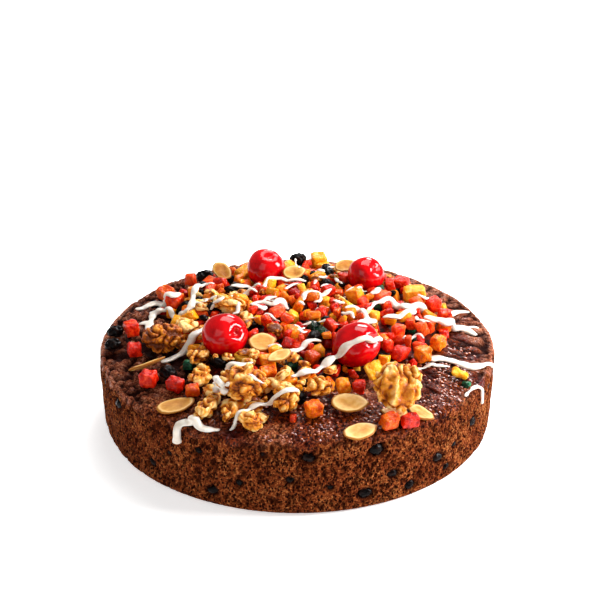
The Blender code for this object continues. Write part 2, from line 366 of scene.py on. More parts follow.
@dataclass(frozen=True)
class Finish:
    """A surface, named for the real substance, and the record's slot it belongs to."""

    name: str
    slot: str

    def material(self) -> bpy.types.Material:
        """The finish's material, made the first time that it is asked for.

        Returns:
            A node material.
        """
        made = bpy.data.materials.get(self.name)
        if made is None:
            made = bpy.data.materials.new(self.name)
            made.use_nodes = True
            tree = made.node_tree
            place = add_node(tree, "TexCoord").outputs["Object"]
            set_inputs(tree.nodes["Principled BSDF"], self.dress(tree, place))
        return made

    def dress(self, tree: Tree, place: Socket) -> Inputs:
        """Add the finish's nodes.

        Args:
            tree: The material's node tree.
            place: The object coordinates.

        Returns:
            What the shader's sockets are linked or set to.
        """
        raise NotImplementedError


@dataclass(frozen=True)
class BakedCrumb(Finish):
    """Dark rich sponge baked in a tin: an open brown crumb, and a browned sticky crust."""

    # Painted shade: hole darkens the crumb's holes, crease the crust's creases and pores.
    hole: str = "#200401"
    crease: str = "#1e0401"
    amber: str = "#943a0a"
    jelly: str = "#640a06"
    # The crumb, the crust and the soaked crumb: each colour's shade and code.
    crumb: Stops = ((0.32, "#3a1104"), (0.44, "#5c240e"), (0.56, "#84401c"), (0.7, "#bc7a44"))
    # The crust's palest stop is partly its own colour and partly painted highlight, for glints on
    # the lumps.
    crust: Stops = ((0.3, "#2c0a03"), (0.4, "#763018"), (0.5, "#a85636"), (0.61, "#d88e6a"))
    soaked: Stops = ((0.34, "#220400"), (0.46, "#4a1403"), (0.58, "#7a2c08"), (0.7, "#c46a20"))
    grain_size: float = 0.9 * MM
    hole_size: float = 1.3 * MM
    patch_size: float = 14 * MM
    ripple_size: float = 2.4 * MM

    def dress(self, tree: Tree, place: Socket) -> Inputs:
        """Add the crumb's grains and holes, and the crust and the syrup over them.

        Args:
            tree: The material's node tree.
            place: The object coordinates.

        Returns:
            What the shader's sockets are linked or set to.
        """
        crust, pit_shade, wet = (add_node(tree, "Attribute", attribute_name=name).outputs["Fac"]
                           for name in ("crust", "pit_shade", "wet"))
        grain = add_node(tree, "TexNoise", {"Vector": place, "Scale": 1 / self.grain_size,
                                            "Detail": 4.0, "Roughness": 0.65})
        patch = add_node(tree, "TexNoise", {"Vector": place, "Scale": 1 / self.patch_size})
        tall = add_node(tree, "VectorMath", {0: place, 1: (1.0, 1.0, 0.62)},
                        operation="MULTIPLY")
        cells = add_node(tree, "TexVoronoi", {"Vector": tall, "Scale": 1 / self.hole_size})
        open_cell = add_node(tree, "MapRange", {"Value": cells, 1: 0.3, 2: 0.42})
        shade = add_node(tree, "Math", {0: patch, 1: 0.24, 2: grain}, operation="MULTIPLY_ADD")
        shade = add_node(tree, "Math", {0: shade, 1: 0.12}, operation="SUBTRACT")
        dry, browned, soaked = (add_node(tree, "ValToRGB", {"Fac": shade}, stops=stops)
                                for stops in (self.crumb, self.crust, self.soaked))
        # solid is 0 in the holes, from the mesh's pits and the cells' middles; the hole colour
        # there is painted shade.
        solid = add_node(tree, "Math", {0: pit_shade, 1: -0.9, 2: 1.0}, operation="MULTIPLY_ADD")
        solid = add_node(tree, "Math", {0: solid, 1: open_cell}, operation="MULTIPLY",
                         use_clamp=True)
        soak = add_node(tree, "Math", {0: wet, 1: 1.4}, operation="MULTIPLY", use_clamp=True)
        moist = add_node(tree, "Mix", {0: soak, 6: dry, 7: soaked}, data_type="RGBA")
        crumb = add_node(tree, "Mix", {0: solid, 6: linear(self.hole), 7: moist},
                         data_type="RGBA")
        share = add_node(tree, "Math", {0: wet, 1: 1.2}, operation="MULTIPLY", use_clamp=True)
        pool = add_node(tree, "MapRange", {"Value": patch, 1: 0.4, 2: 0.6})
        syrup = add_node(tree, "Mix", {0: pool, 6: linear(self.jelly), 7: linear(self.amber)},
                         data_type="RGBA")
        glazed = add_node(tree, "Mix", {0: share, 6: browned, 7: syrup}, data_type="RGBA")
        # Painted shade: open crumb under the syrup and the crust's creases take the crease colour.
        pore_shade = add_node(tree, "Math", {0: solid, 1: -1.0, 2: 1.0}, operation="MULTIPLY_ADD")
        pore_shade = add_node(tree, "Math", {0: pore_shade, 1: wet}, operation="MULTIPLY")
        pore_shade = add_node(tree, "Math", {0: pore_shade, 1: pit_shade}, operation="MAXIMUM")
        glazed = add_node(tree, "Mix", {0: pore_shade, 6: glazed, 7: linear(self.crease)},
                          data_type="RGBA")
        both = add_node(tree, "Mix", {0: crust, 6: crumb, 7: glazed}, data_type="RGBA")
        rough = add_node(tree, "Math", {0: crust, 1: -0.3, 2: 0.9}, operation="MULTIPLY_ADD")
        rough = add_node(tree, "Math", {0: wet, 1: -0.3, 2: rough}, operation="MULTIPLY_ADD")
        gloss = add_node(tree, "Math", {0: crust, 1: 0.27}, operation="MULTIPLY")
        gloss = add_node(tree, "Math", {0: wet, 1: 0.08, 2: gloss}, operation="MULTIPLY_ADD",
                         use_clamp=True)
        bare = add_node(tree, "Math", {0: 1.0, 1: pit_shade}, operation="SUBTRACT")
        gloss = add_node(tree, "Math", {0: gloss, 1: bare}, operation="MULTIPLY",
                         use_clamp=True)
        dents = add_node(tree, "Bump", {"Height": solid, "Strength": 0.8,
                                        "Distance": 0.5 * MM})
        grains = add_node(tree, "Bump", {"Height": grain, "Strength": 0.9,
                                         "Distance": 0.9 * MM, "Normal": dents})
        ripple = add_node(tree, "TexNoise", {"Vector": place, "Scale": 1 / self.ripple_size,
                                             "Detail": 2.0})
        ripples = add_node(tree, "Bump", {"Height": ripple, "Strength": 1.0,
                                          "Distance": 1.1 * MM})
        return {"Base Color": both, "Roughness": rough, "Normal": grains,
                "Specular IOR Level": 0.03, "Coat Weight": gloss, "Coat Roughness": 0.06,
                "Coat Normal": ripples}


@dataclass(frozen=True)
class CandiedFruit(Finish):
    """Fruit or peel boiled in syrup and diced: a clear tinted gel with a sugared skin."""

    dark: str
    middle: str
    light: str
    glow: tuple[float, float, float] = (1.0, 0.3, 0.08)

    def dress(self, tree: Tree, place: Socket) -> Inputs:
        """Add the tint of each piece, its clouds and its sugar grain.

        Args:
            tree: The material's node tree.
            place: The object coordinates.

        Returns:
            What the shader's sockets are linked or set to.
        """
        tone = add_node(tree, "Attribute", attribute_name="tone").outputs["Fac"]
        cloud = add_node(tree, "TexNoise", {"Vector": place, "Scale": 1 / (3.0 * MM),
                                            "Detail": 4.0, "Roughness": 0.65})
        shade = add_node(tree, "Math", {0: cloud, 1: 1.8, 2: tone}, operation="MULTIPLY_ADD")
        shade = add_node(tree, "Math", {0: shade, 1: 0.9}, operation="SUBTRACT")
        colour = add_node(tree, "ValToRGB", {"Fac": shade}, stops=[
            (0.08, self.dark), (0.5, self.middle), (0.95, self.light)])
        sugar = add_node(tree, "TexNoise", {"Vector": place, "Scale": 1 / (1.4 * MM),
                                            "Detail": 3.0, "Roughness": 0.6})
        bump = add_node(tree, "Bump", {"Height": sugar, "Strength": 0.8,
                                       "Distance": 0.9 * MM})
        return {"Base Color": colour, "Normal": bump, "Roughness": 0.4,
                "Subsurface Weight": 0.3, "Subsurface Radius": self.glow,
                "Subsurface Scale": 2.2 * MM, "Specular IOR Level": 0.02,
                "Coat Weight": 0.42, "Coat Roughness": 0.03, "Coat Normal": bump}


@dataclass(frozen=True)
class CherrySkin(Finish):
    """Glace cherry: tight red skin under a coat of set syrup."""

    def dress(self, tree: Tree, place: Socket) -> Inputs:
        """Add the flesh's clouds under the gloss.

        Args:
            tree: The material's node tree.
            place: The object coordinates.

        Returns:
            What the shader's sockets are linked or set to.
        """
        cloud = add_node(tree, "TexNoise", {"Vector": place, "Scale": 1 / (9 * MM),
                                            "Detail": 2.0})
        colour = add_node(tree, "ValToRGB", {"Fac": cloud}, stops=[
            (0.3, "#900004"), (0.5, "#c80008"), (0.72, "#e80c10")])
        skin = add_node(tree, "TexNoise", {"Vector": place, "Scale": 1 / (3 * MM)})
        bump = add_node(tree, "Bump", {"Height": skin, "Strength": 0.12,
                                       "Distance": 0.6 * MM})
        return {"Base Color": colour, "Normal": bump, "Roughness": 0.16,
                "Subsurface Weight": 0.1, "Subsurface Radius": (1.0, 0.1, 0.04),
                "Subsurface Scale": 3 * MM, "Specular IOR Level": 0.0,
                "Coat Weight": 0.65, "Coat Roughness": 0.03}


@dataclass(frozen=True)
class KernelSkin(Finish):
    """Shelled walnut: pale oily flesh; thin brown skin and painted shade in its folds."""

    # The crease colour is partly the skin left in the folds and partly painted shade.
    crease: str = "#6a2c02"
    skin: str = "#b45806"
    flesh: str = "#e28e22"
    cut: str = "#fbd488"

    def dress(self, tree: Tree, place: Socket) -> Inputs:
        """Add the colours from crease to crest, with painted shade in the creases, and patches of
        skin.

        Args:
            tree: The material's node tree.
            place: The object coordinates.

        Returns:
            What the shader's sockets are linked or set to.
        """
        fold, tone = (add_node(tree, "Attribute", attribute_name=name).outputs["Fac"]
                      for name in ("fold", "tone"))
        patch = add_node(tree, "TexNoise", {"Vector": place, "Scale": 1 / (5 * MM),
                                            "Detail": 4.0, "Roughness": 0.6})
        shade = add_node(tree, "Math", {0: patch, 1: 0.8, 2: fold}, operation="MULTIPLY_ADD")
        shade = add_node(tree, "Math", {0: tone, 1: 0.7, 2: shade}, operation="MULTIPLY_ADD")
        shade = add_node(tree, "Math", {0: shade, 1: 0.85}, operation="SUBTRACT")
        colour = add_node(tree, "ValToRGB", {"Fac": shade}, stops=[
            (0.12, self.crease), (0.36, self.skin), (0.6, self.flesh), (0.9, self.cut)])
        grain = add_node(tree, "TexNoise", {"Vector": place, "Scale": 1 / (1.5 * MM),
                                            "Detail": 4.0, "Roughness": 0.6})
        bump = add_node(tree, "Bump", {"Height": grain, "Strength": 0.8,
                                       "Distance": 1.0 * MM})
        return {"Base Color": colour, "Normal": bump, "Roughness": 0.3,
                "Subsurface Weight": 0.1, "Subsurface Radius": (1.0, 0.5, 0.25),
                "Subsurface Scale": 1.0 * MM, "Specular IOR Level": 0.15,
                "Coat Weight": 0.12, "Coat Roughness": 0.1}


@dataclass(frozen=True)
class CutAlmond(Finish):
    """Flaked almond: a smooth cut face with a faint grain and a paler rim, which is painted
    highlight.
    """

    def dress(self, tree: Tree, place: Socket) -> Inputs:
        """Add the toasted middle, the pale rim as painted highlight, and the skin line on the
        edge.

        Args:
            tree: The material's node tree.
            place: The object coordinates.

        Returns:
            What the shader's sockets are linked or set to.
        """
        rim = add_node(tree, "Attribute", attribute_name="rim").outputs["Fac"]
        patch = add_node(tree, "TexNoise", {"Vector": place, "Scale": 1 / (3 * MM),
                                            "Detail": 4.0})
        shade = add_node(tree, "Math", {0: patch, 1: 0.6, 2: rim}, operation="MULTIPLY_ADD")
        # Painted highlight: the pale third stop lies in a band just inside the edge.
        colour = add_node(tree, "ValToRGB", {"Fac": shade}, stops=[
            (0.05, "#b06c26"), (0.3, "#d29640"), (0.62, "#f0c880"), (0.95, "#a4641f")])
        bump = add_node(tree, "Bump", {"Height": patch, "Strength": 0.3,
                                       "Distance": 0.4 * MM})
        return {"Base Color": colour, "Normal": bump, "Roughness": 0.45,
                "Subsurface Weight": 0.2, "Subsurface Radius": (1.0, 0.6, 0.3),
                "Subsurface Scale": 1.0 * MM, "Specular IOR Level": 0.2}


@dataclass(frozen=True)
class RaisinSkin(Finish):
    """Dried grape: near black wrinkled skin with a brown glint and a dull bloom."""

    def dress(self, tree: Tree, place: Socket) -> Inputs:
        """Add the brown crests and the black folds, whose black is painted shade.

        Args:
            tree: The material's node tree.
            place: The object coordinates.

        Returns:
            What the shader's sockets are linked or set to.
        """
        fold = add_node(tree, "Attribute", attribute_name="fold").outputs["Fac"]
        patch = add_node(tree, "TexNoise", {"Vector": place, "Scale": 1 / (2.5 * MM),
                                            "Detail": 3.0})
        # Darker in the folds: painted shade.
        shade = add_node(tree, "Math", {0: fold, 1: patch}, operation="MULTIPLY")
        colour = add_node(tree, "ValToRGB", {"Fac": shade}, stops=[
            (0.1, "#020101"), (0.35, "#0b0505"), (0.65, "#24120c")])
        bump = add_node(tree, "Bump", {"Height": patch, "Strength": 0.5,
                                       "Distance": 0.5 * MM})
        return {"Base Color": colour, "Normal": bump, "Roughness": 0.24,
                "Specular IOR Level": 0.06}


@dataclass(frozen=True)
class SugarIcing(Finish):
    """Icing sugar stirred with water: warm white, smooth, half set and still shiny."""

    def dress(self, tree: Tree, place: Socket) -> Inputs:
        """Add a faint thick and thin mottle under the shine.

        Args:
            tree: The material's node tree.
            place: The object coordinates.

        Returns:
            What the shader's sockets are linked or set to.
        """
        cloud = add_node(tree, "TexNoise", {"Vector": place, "Scale": 1 / (4 * MM),
                                            "Detail": 2.0})
        colour = add_node(tree, "ValToRGB", {"Fac": cloud}, stops=[
            (0.3, "#d6c8b6"), (0.6, "#ebe3d8")])
        bump = add_node(tree, "Bump", {"Height": cloud, "Strength": 0.15,
                                       "Distance": 0.5 * MM})
        return {"Base Color": colour, "Normal": bump, "Roughness": 0.3,
                "Subsurface Weight": 0.35, "Subsurface Radius": (1.0, 0.8, 0.6),
                "Subsurface Scale": 1.5 * MM, "Coat Weight": 0.3, "Coat Roughness": 0.12}


@dataclass(frozen=True)
class SetSyrup(Finish):
    """Sugar syrup set to a clear amber gel, as smooth and glossy as glass."""

    def dress(self, tree: Tree, place: Socket) -> Inputs:
        """Add the thin and thick places' tint under the gloss.

        Args:
            tree: The material's node tree.
            place: The object coordinates.

        Returns:
            What the shader's sockets are linked or set to.
        """
        cloud = add_node(tree, "TexNoise", {"Vector": place, "Scale": 1 / (5 * MM)})
        colour = add_node(tree, "ValToRGB", {"Fac": cloud}, stops=[
            (0.35, "#5a1406"), (0.65, "#a4480f")])
        return {"Base Color": colour, "Roughness": 0.15, "Specular IOR Level": 0.3,
                "Coat Weight": 1.0, "Coat Roughness": 0.02}


@dataclass(frozen=True)
class StickyMix(Finish):
    """Small fruit and syrup packed together under the diced pieces: dark and moist."""

    def dress(self, tree: Tree, place: Socket) -> Inputs:
        """Add patches of dark fruit, red fruit and crumb.

        Args:
            tree: The material's node tree.
            place: The object coordinates.

        Returns:
            What the shader's sockets are linked or set to.
        """
        patch = add_node(tree, "TexNoise", {"Vector": place, "Scale": 1 / (4 * MM),
                                            "Detail": 4.0, "Roughness": 0.6})
        colour = add_node(tree, "ValToRGB", {"Fac": patch}, stops=[
            (0.35, "#0c0302"), (0.5, "#2c0905"), (0.62, "#641307"), (0.75, "#8c3c10")])
        bump = add_node(tree, "Bump", {"Height": patch, "Strength": 0.8,
                                       "Distance": 1.2 * MM})
        return {"Base Color": colour, "Normal": bump, "Roughness": 0.4,
                "Specular IOR Level": 0.1}


@dataclass(frozen=True)
class StudioFloor(Finish):
    """Matt white paper sweep, lit from below as well, so it stays white around the cake."""

    glow: float = 0.53

    def dress(self, tree: Tree, place: Socket) -> Inputs:
        """Add a paper white that varies too little to see.

        Args:
            tree: The material's node tree.
            place: The object coordinates.

        Returns:
            What the shader's sockets are linked or set to.
        """
        cloud = add_node(tree, "TexNoise", {"Vector": place, "Scale": 2.0})
        colour = add_node(tree, "ValToRGB", {"Fac": cloud}, stops=[
            (0.0, "#f6f5f4"), (1.0, "#f8f7f6")])
        return {"Base Color": colour, "Roughness": 0.9, "Specular IOR Level": 0.0,
                "Emission Color": linear("#ffffff"), "Emission Strength": self.glow}


CRUMB = BakedCrumb("baked_fruit_sponge", "cake_crumb")
RED = CandiedFruit("candied_papaya", "candied_red", "#8a0402", "#d62006", "#f85a1c")
ORANGE = CandiedFruit("candied_orange_peel", "candied_orange", "#c43a04", "#ee740c",
                      "#fca828", glow=(1.0, 0.45, 0.08))
YELLOW = CandiedFruit("candied_lemon_peel", "candied_yellow", "#d97a06", "#f29a10",
                      "#fcbf3c", glow=(1.0, 0.6, 0.1))
GREEN = CandiedFruit("candied_angelica", "candied_green", "#04170c", "#0b3a22", "#1c7a52",
                     glow=(0.3, 1.0, 0.5))
CHERRY = CherrySkin("glace_cherry_skin", "glace_cherry")
KERNEL = KernelSkin("walnut_kernel_skin", "walnut_kernel")
ALMOND = CutAlmond("flaked_almond", "almond_flake")
RAISIN = RaisinSkin("raisin_skin", "raisin")
ICING = SugarIcing("sugar_icing", "icing")
SYRUP = SetSyrup("set_syrup", "cake_crumb")
MIX = StickyMix("sticky_fruit_mix", "fruit_mix")


def place_piece(name: str, shape: bmesh.types.BMesh, finish: Finish,
                replaced: Sequence[str] = (),
                values: dict[str, Sequence[float]] | None = None) -> bpy.types.Object:
    """Turn a finished bmesh into a piece that rides on the cake.

    Args:
        name: The piece's name.
        shape: Its closed mesh, in place. It is freed.
        finish: Its surface.
        replaced: CAD nodes that it stands for.
        values: Named values for each vertex, which the finish reads.

    Returns:
        The piece's object.
    """
    mesh = kept_mesh(name, shape)
    mesh.shade_smooth()
    mesh.materials.append(finish.material())
    for label, numbers in (values or {}).items():
        layer = mesh.attributes.new(label, "FLOAT", "POINT")
        layer.data.foreach_set("value", np.asarray(numbers, np.float32))
    piece = add_object(name, mesh)
    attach(piece, "root")
    if replaced:
        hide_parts(*replaced)
    LOG.info("%s: %d faces", name, len(mesh.polygons))
    return piece


# ---------------------------------------------------------------- the bed of heights


@dataclass
class Bed:
    """Heights seen from above: the top of what lies there, and the underside of what is kept."""

    reach: float = 108 * MM
    cell: float = 0.5 * MM
    top: np.ndarray = field(init=False)
    ceiling: np.ndarray = field(init=False)

    def __post_init__(self) -> None:
        """Start with an empty floor and an open sky."""
        count = int(2 * self.reach / self.cell) + 1
        self.top = np.zeros((count, count))
        self.ceiling = np.full((count, count), 1.0)

    def cells(self, points: np.ndarray) -> tuple[np.ndarray, np.ndarray]:
        """Grid cells below the points.

        Args:
            points: Points, one in each row.

        Returns:
            The cells' two indices.
        """
        spots = ((points[:, :2] + self.reach) / self.cell).astype(int)
        spots = spots.clip(0, len(self.top) - 1)
        return spots[:, 0], spots[:, 1]

    def cover(self, points: np.ndarray) -> None:
        """Raise the top to the points, wherever they are higher."""
        np.maximum.at(self.top, self.cells(points), points[:, 2])

    def keep_below(self, points: np.ndarray) -> None:
        """Lower the ceiling to the points, wherever they are lower."""
        np.minimum.at(self.ceiling, self.cells(points), points[:, 2])

    def draped(self, bridge: float, blur: float) -> np.ndarray:
        """The top as a thick liquid lies on it, with its narrow gaps bridged.

        Args:
            bridge: Half the width of the widest gap that is bridged, in metres.
            blur: How far the heights are evened out, in metres.

        Returns:
            A height for every cell.
        """
        heights = self.top
        for choose in (np.maximum, np.minimum):
            for axis in (0, 1):
                steps = range(-round(bridge / self.cell), round(bridge / self.cell) + 1)
                heights = choose.reduce([np.roll(heights, step, axis) for step in steps])
        for axis in (0, 1):
            steps = range(-round(blur / self.cell), round(blur / self.cell) + 1)
            heights = sum(np.roll(heights, step, axis) for step in steps) / len(steps)
        return np.maximum(heights, self.top - 0.5 * MM)

    def read(self, heights: np.ndarray, x: float, y: float) -> float:
        """Height at a place, between the four cells round it.

        Args:
            heights: A height for every cell.
            x: Place along X, in metres.
            y: Place along Y, in metres.

        Returns:
            The height, in metres.
        """
        u, v = ((value + self.reach) / self.cell - 0.5 for value in (x, y))
        row, column = int(u), int(v)
        u, v = u - row, v - column
        near = heights[row:row + 2, column:column + 2]
        return float(np.array((1 - u, u)) @ near @ np.array((1 - v, v)))


# ---------------------------------------------------------------- the cake


@dataclass
class CakeBody:
    """The baked body: an open crumb up its side and a wrinkled crust over its low dome."""

    radius: float = 100.0 * MM
    base_radius: float = 99.0 * MM
    base_edge: float = 4.0 * MM
    shoulder_height: float = 37.0 * MM
    shoulder_round: float = 3.5 * MM
    crown_height: float = 46.5 * MM
    crown_power: float = 2.4
    segments: int = 720
    side_step: float = 0.75 * MM
    top_step: float = 1.0 * MM
    bare_from: float = 50.0 * MM
    grain_spacing: float = 2.0 * MM
    hole_depth: float = 1.0 * MM
    draw_back: float = 1.3 * MM
    pebble: float = 4.8 * MM
    lump_width: float = 10.0 * MM
    crinkle_width: float = 2.6 * MM
    pleat_length: float = 14 * MM
    # Pleats to a radian, where the ring of pleats is widest.
    pleats: float = 85 / 4.2
    pleats_begin: float = 66 * MM
    pleats_full: float = 82 * MM
    # Widths of the crumb's bulges, swells and grains.
    crumb_widths: tuple[float, float, float] = (24 * MM, 8 * MM, 1.5 * MM)
    open_width: float = 5 * MM
    # The crust's ragged lower edge on the side: the heights where the wet and the brown begin
    # and where both are full, and how far and how often the edge strays.
    wet_begins: float = 34.0 * MM
    crust_begins: float = 36.0 * MM
    crust_full: float = 40.0 * MM
    ragged: float = 3.5 * MM
    ragged_width: float = 6 * MM
    torn_begins: float = 62 * MM
    torn_full: float = 86 * MM
    torn_width: float = 9 * MM
    damp_width: float = 18 * MM
    # Directions in degrees that the torn crust and the wettest crust face.
    torn_towards: float = -85
    wet_towards: float = -65
    # Where syrup has pooled: x, y and reach in mm.
    pools: tuple[tuple[float, float, float], ...] = (
        (67, -40, 15), (48, -72, 12), (12, -76, 15), (76, -8, 12), (-4, -66, 12))

    def top_height(self, radius: float) -> float:
        """Height of the smooth top.

        Args:
            radius: The distance from the axis, in metres.

        Returns:
            The height, in metres.
        """
        rim = self.radius - self.shoulder_round
        rim_height = self.shoulder_height + self.shoulder_round
        if radius <= rim:
            rise = self.crown_height - rim_height
            return rim_height + rise * (1 - (radius / rim) ** self.crown_power)
        across = min((radius - rim) / self.shoulder_round, 1.0)
        return self.shoulder_height + self.shoulder_round * math.sqrt(1 - across ** 2)

    def outline(self) -> list[tuple[float, float]]:
        """Half outline, close together where the surface shows.

        Returns:
            (radius, height) points from the base's middle to the crown.
        """
        points = [(share * self.base_radius, 0.0) for share in (0.0, 0.5, 0.9)]
        points.append((self.base_radius - self.base_edge, 0.0))
        for lean in map(math.radians, range(-75, 0, 15)):
            points.append((self.base_radius - self.base_edge * (1 - math.cos(lean)),
                           self.base_edge * (1 + math.sin(lean))))
        rise = self.shoulder_height - self.base_edge
        steps = int(rise / self.side_step)
        for step in range(steps + 1):
            bulge = math.sin(step / steps * math.pi / 2)
            points.append((self.base_radius + (self.radius - self.base_radius) * bulge,
                           self.base_edge + rise * step / steps))
        rim = self.radius - self.shoulder_round
        for angle in range(12, 91, 13):
            radius = rim + self.shoulder_round * math.cos(math.radians(angle))
            points.append((radius, self.top_height(radius)))
        radius = rim
        while radius > self.bare_from:
            radius -= self.top_step
            points.append((radius, self.top_height(radius)))
        for share in (0.85, 0.7, 0.55, 0.4, 0.25, 0.1, 0.0):
            points.append((self.bare_from * share, self.top_height(self.bare_from * share)))
        return points

    def crumb_relief(self, place: Vector) -> tuple[float, float]:
        """Relief of the open crumb.

        Args:
            place: The point on the smooth side.

        Returns:
            Outward move in metres, and the share of a hole from 0 to 1, darkened as painted shade.
        """
        bulge, swell, grain = (noise.noise(place / width) for width in self.crumb_widths)
        warp = noise.noise(place / (2.6 * MM) + Vector((5.0, 1.0, 8.0))) * 0.5
        spot = Vector((place.x, place.y, place.z * 0.62)) / self.grain_spacing
        distances, centres = noise.voronoi(spot + Vector((warp, -warp, warp)))
        open_here = noise.noise(place / self.open_width + Vector((1.0, 6.0, 3.0)))
        width = 0.4 + 0.24 * noise.noise(centres[0] * 2.3) + 0.14 * open_here
        hole = 1 - smoothstep(width - 0.12, width + 0.1, distances[0])
        move = (0.7 * bulge + 0.5 * swell + 0.2 * grain) * MM - hole * self.hole_depth
        return move, 0.95 * hole

    def crust_relief(self, place: Vector, angle: float, radius: float) -> tuple[float, float]:
        """Relief of the wrinkled crust.

        Args:
            place: The point on the smooth top.
            angle: Its direction about the axis, in radians.
            radius: Its distance from the axis.

        Returns:
            Upward move in metres, and how deep it lies in a crease from 0 to 1, darkened as
            painted shade.
        """
        around = Vector((*polar(self.pleats, angle), radius / self.pleat_length))
        pleat = billow(around * MM, MM, 1.0)
        warp = 0.4 * noise.noise(place / (3 * MM))
        distances, centres = noise.voronoi(place / self.pebble + Vector((warp, -warp, warp)))
        gap = smoothstep(0.25, 0.8, distances[0])
        low = 0.5 - 0.5 * noise.noise(centres[0] * 3.1)
        lump = billow(place, self.lump_width, 2.0)
        right = smoothstep(0.1, 0.8, math.cos(angle))
        right *= smoothstep(self.pleats_begin, self.pleats_full, radius)
        left = smoothstep(-0.3, 0.6, -math.cos(angle))
        plain = (1 - 0.7 * right) * (0.5 + 0.5 * left)
        crinkle = 1 - billow(place, self.crinkle_width, 3.0)
        groove = 1 - pleat ** 0.6
        sunk = ((1 - lump) * 1.6 + gap * 2.6 + low * 1.3) * plain + groove * 2.4 * right
        # How dark each crease is painted: painted shade, deepest in the left's gaps and the
        # right's grooves.
        crease = ((1 - lump) * 0.5 + gap * 1.1 + low * 0.25) * plain + groove * 1.9 * right
        sunk, crease = sunk + crinkle * 0.8, crease + crinkle * 0.4
        return (0.35 + 1.2 * plain - sunk) * MM, min(crease, 1.0)

    def torn_crust(self, place: Vector, angle: float, radius: float) -> float:
        """How far the crust has pulled off the open crumb, as it has along the front.

        Args:
            place: The point on the smooth top.
            angle: Its direction about the axis, in radians.
            radius: Its distance from the axis.

        Returns:
            A share from 0, whole, to 1, open.
        """
        front = max(math.cos(angle - math.radians(self.torn_towards)), 0.0)
        outer = smoothstep(self.torn_begins, self.torn_full, radius)
        patch = noise.noise(place / self.torn_width)
        return smoothstep(0.0, 0.4, front * outer - 0.4 + 0.6 * patch)

    def moisture(self, place: Vector, angle: float) -> float:
        """How wet with syrup the crust is.

        Args:
            place: The point on the smooth top.
            angle: Its direction about the axis, in radians.

        Returns:
            A share from 0 where it is dry to 1 where the syrup pools.
        """
        moist = noise.noise(place / self.damp_width + Vector((2.0, 7.0, 1.0)))
        towards = max(math.cos(angle - math.radians(self.wet_towards)), 0.0)
        pooled = max(math.exp(-math.hypot(place.x / MM - x, place.y / MM - y) ** 2 / reach ** 2)
                     for x, y, reach in self.pools)
        return smoothstep(-0.1, 0.6, moist + 0.6 * towards + pooled - 0.3)

    def torn_rims(self, shape: bmesh.types.BMesh,
                  raisins: Sequence[SideSpot]) -> np.ndarray:
        """How much the crumb draws back round each raisin in the side, darkened as painted shade.

        Args:
            shape: The smooth body.
            raisins: The raisins in the side.

        Returns:
            A share from 0 to 1 for every vertex.
        """
        places = np.array([vert.co for vert in shape.verts]) / MM
        around = np.arctan2(places[:, 1], places[:, 0])
        drawn = np.zeros(len(places))
        for turn, height, length in raisins:
            away = (around - math.radians(turn) + math.pi) % (2 * math.pi) - math.pi
            far = np.hypot(away * 100, (places[:, 2] - height) * 1.25) / length
            drawn = np.maximum(drawn, np.clip(2.6 - 4 * far, 0, 1) * (places[:, 2] < 37.5))
        return drawn

    def shape_surface(self, shape: bmesh.types.BMesh,
                      raisins: Sequence[SideSpot]) -> dict[str, list[float]]:
        """Move every vertex by the crumb's and the crust's relief.

        Args:
            shape: The smooth body.
            raisins: The raisins in the side.

        Returns:
            The values that the finish reads, by name.
        """
        drawn = self.torn_rims(shape, raisins)
        values: dict[str, list[float]] = {"crust": [], "pit_shade": [], "wet": []}
        rim = self.radius - self.shoulder_round
        for vert, torn in zip(shape.verts, drawn):
            place = vert.co.copy()
            radius = place.xy.length
            angle = math.atan2(place.y, place.x)
            outward = Vector((*polar(1.0, angle), 0.0))
            up = smoothstep(rim, self.radius, radius)
            normal = (outward * up + Vector((0, 0, 1)) * (1 - up)).normalized()
            if place.z <= self.shoulder_height:
                normal, up = outward, 1.0
            side, pit_shade, top = 0.0, 0.0, 0.0
            if place.z > 0.0005 * MM:
                side, pit_shade = self.crumb_relief(place)
                side = side * min(place.z / (3 * MM), 1.0) - torn * self.draw_back
                # The gap round a side raisin is also darkened as painted shade.
                pit_shade = max(pit_shade, torn)
            if radius < self.radius - 1.5 * MM and place.z > self.shoulder_height:
                top, crease = self.crust_relief(place, angle, radius)
                bare = self.torn_crust(place, angle, radius)
                opened, hole = self.crumb_relief(place)
                top += (0.9 * opened - top) * bare
                # Painted shade in the crust's creases and in the torn crust's holes.
                pit_shade = pit_shade * up + (crease + (hole - crease) * bare) * (1 - up)
            ragged = place.z + self.ragged * noise.noise(place / self.ragged_width)
            crust = smoothstep(self.crust_begins, self.crust_full, ragged)
            if place.z > self.shoulder_height:
                crust *= 1 - 0.8 * self.torn_crust(place, angle, radius)
            vert.co = place + normal * (side * up + top * (1 - up))
            vert.co.z = max(vert.co.z, 0.0)
            wet = self.moisture(place, angle)
            wet *= smoothstep(self.wet_begins, self.crust_full, ragged)
            for name, value in (("crust", crust), ("pit_shade", pit_shade), ("wet", wet)):
                values[name].append(value)
        return values

    def build(self, bed: Bed, raisins: Sequence[SideSpot]) -> None:
        """Turn the outline into the body, roughen it and lay it on the bed.

        Args:
            bed: The bed of heights, which the top of the cake is added to.
            raisins: The raisins in the side.
        """
        shape = turned_body(self.outline(), self.segments)
        values = self.shape_surface(shape, raisins)
        piece = place_piece("cake_body", shape, CRUMB, ["cake"], values)
        bed.cover(surface_points(piece.data, 0.6 * MM))


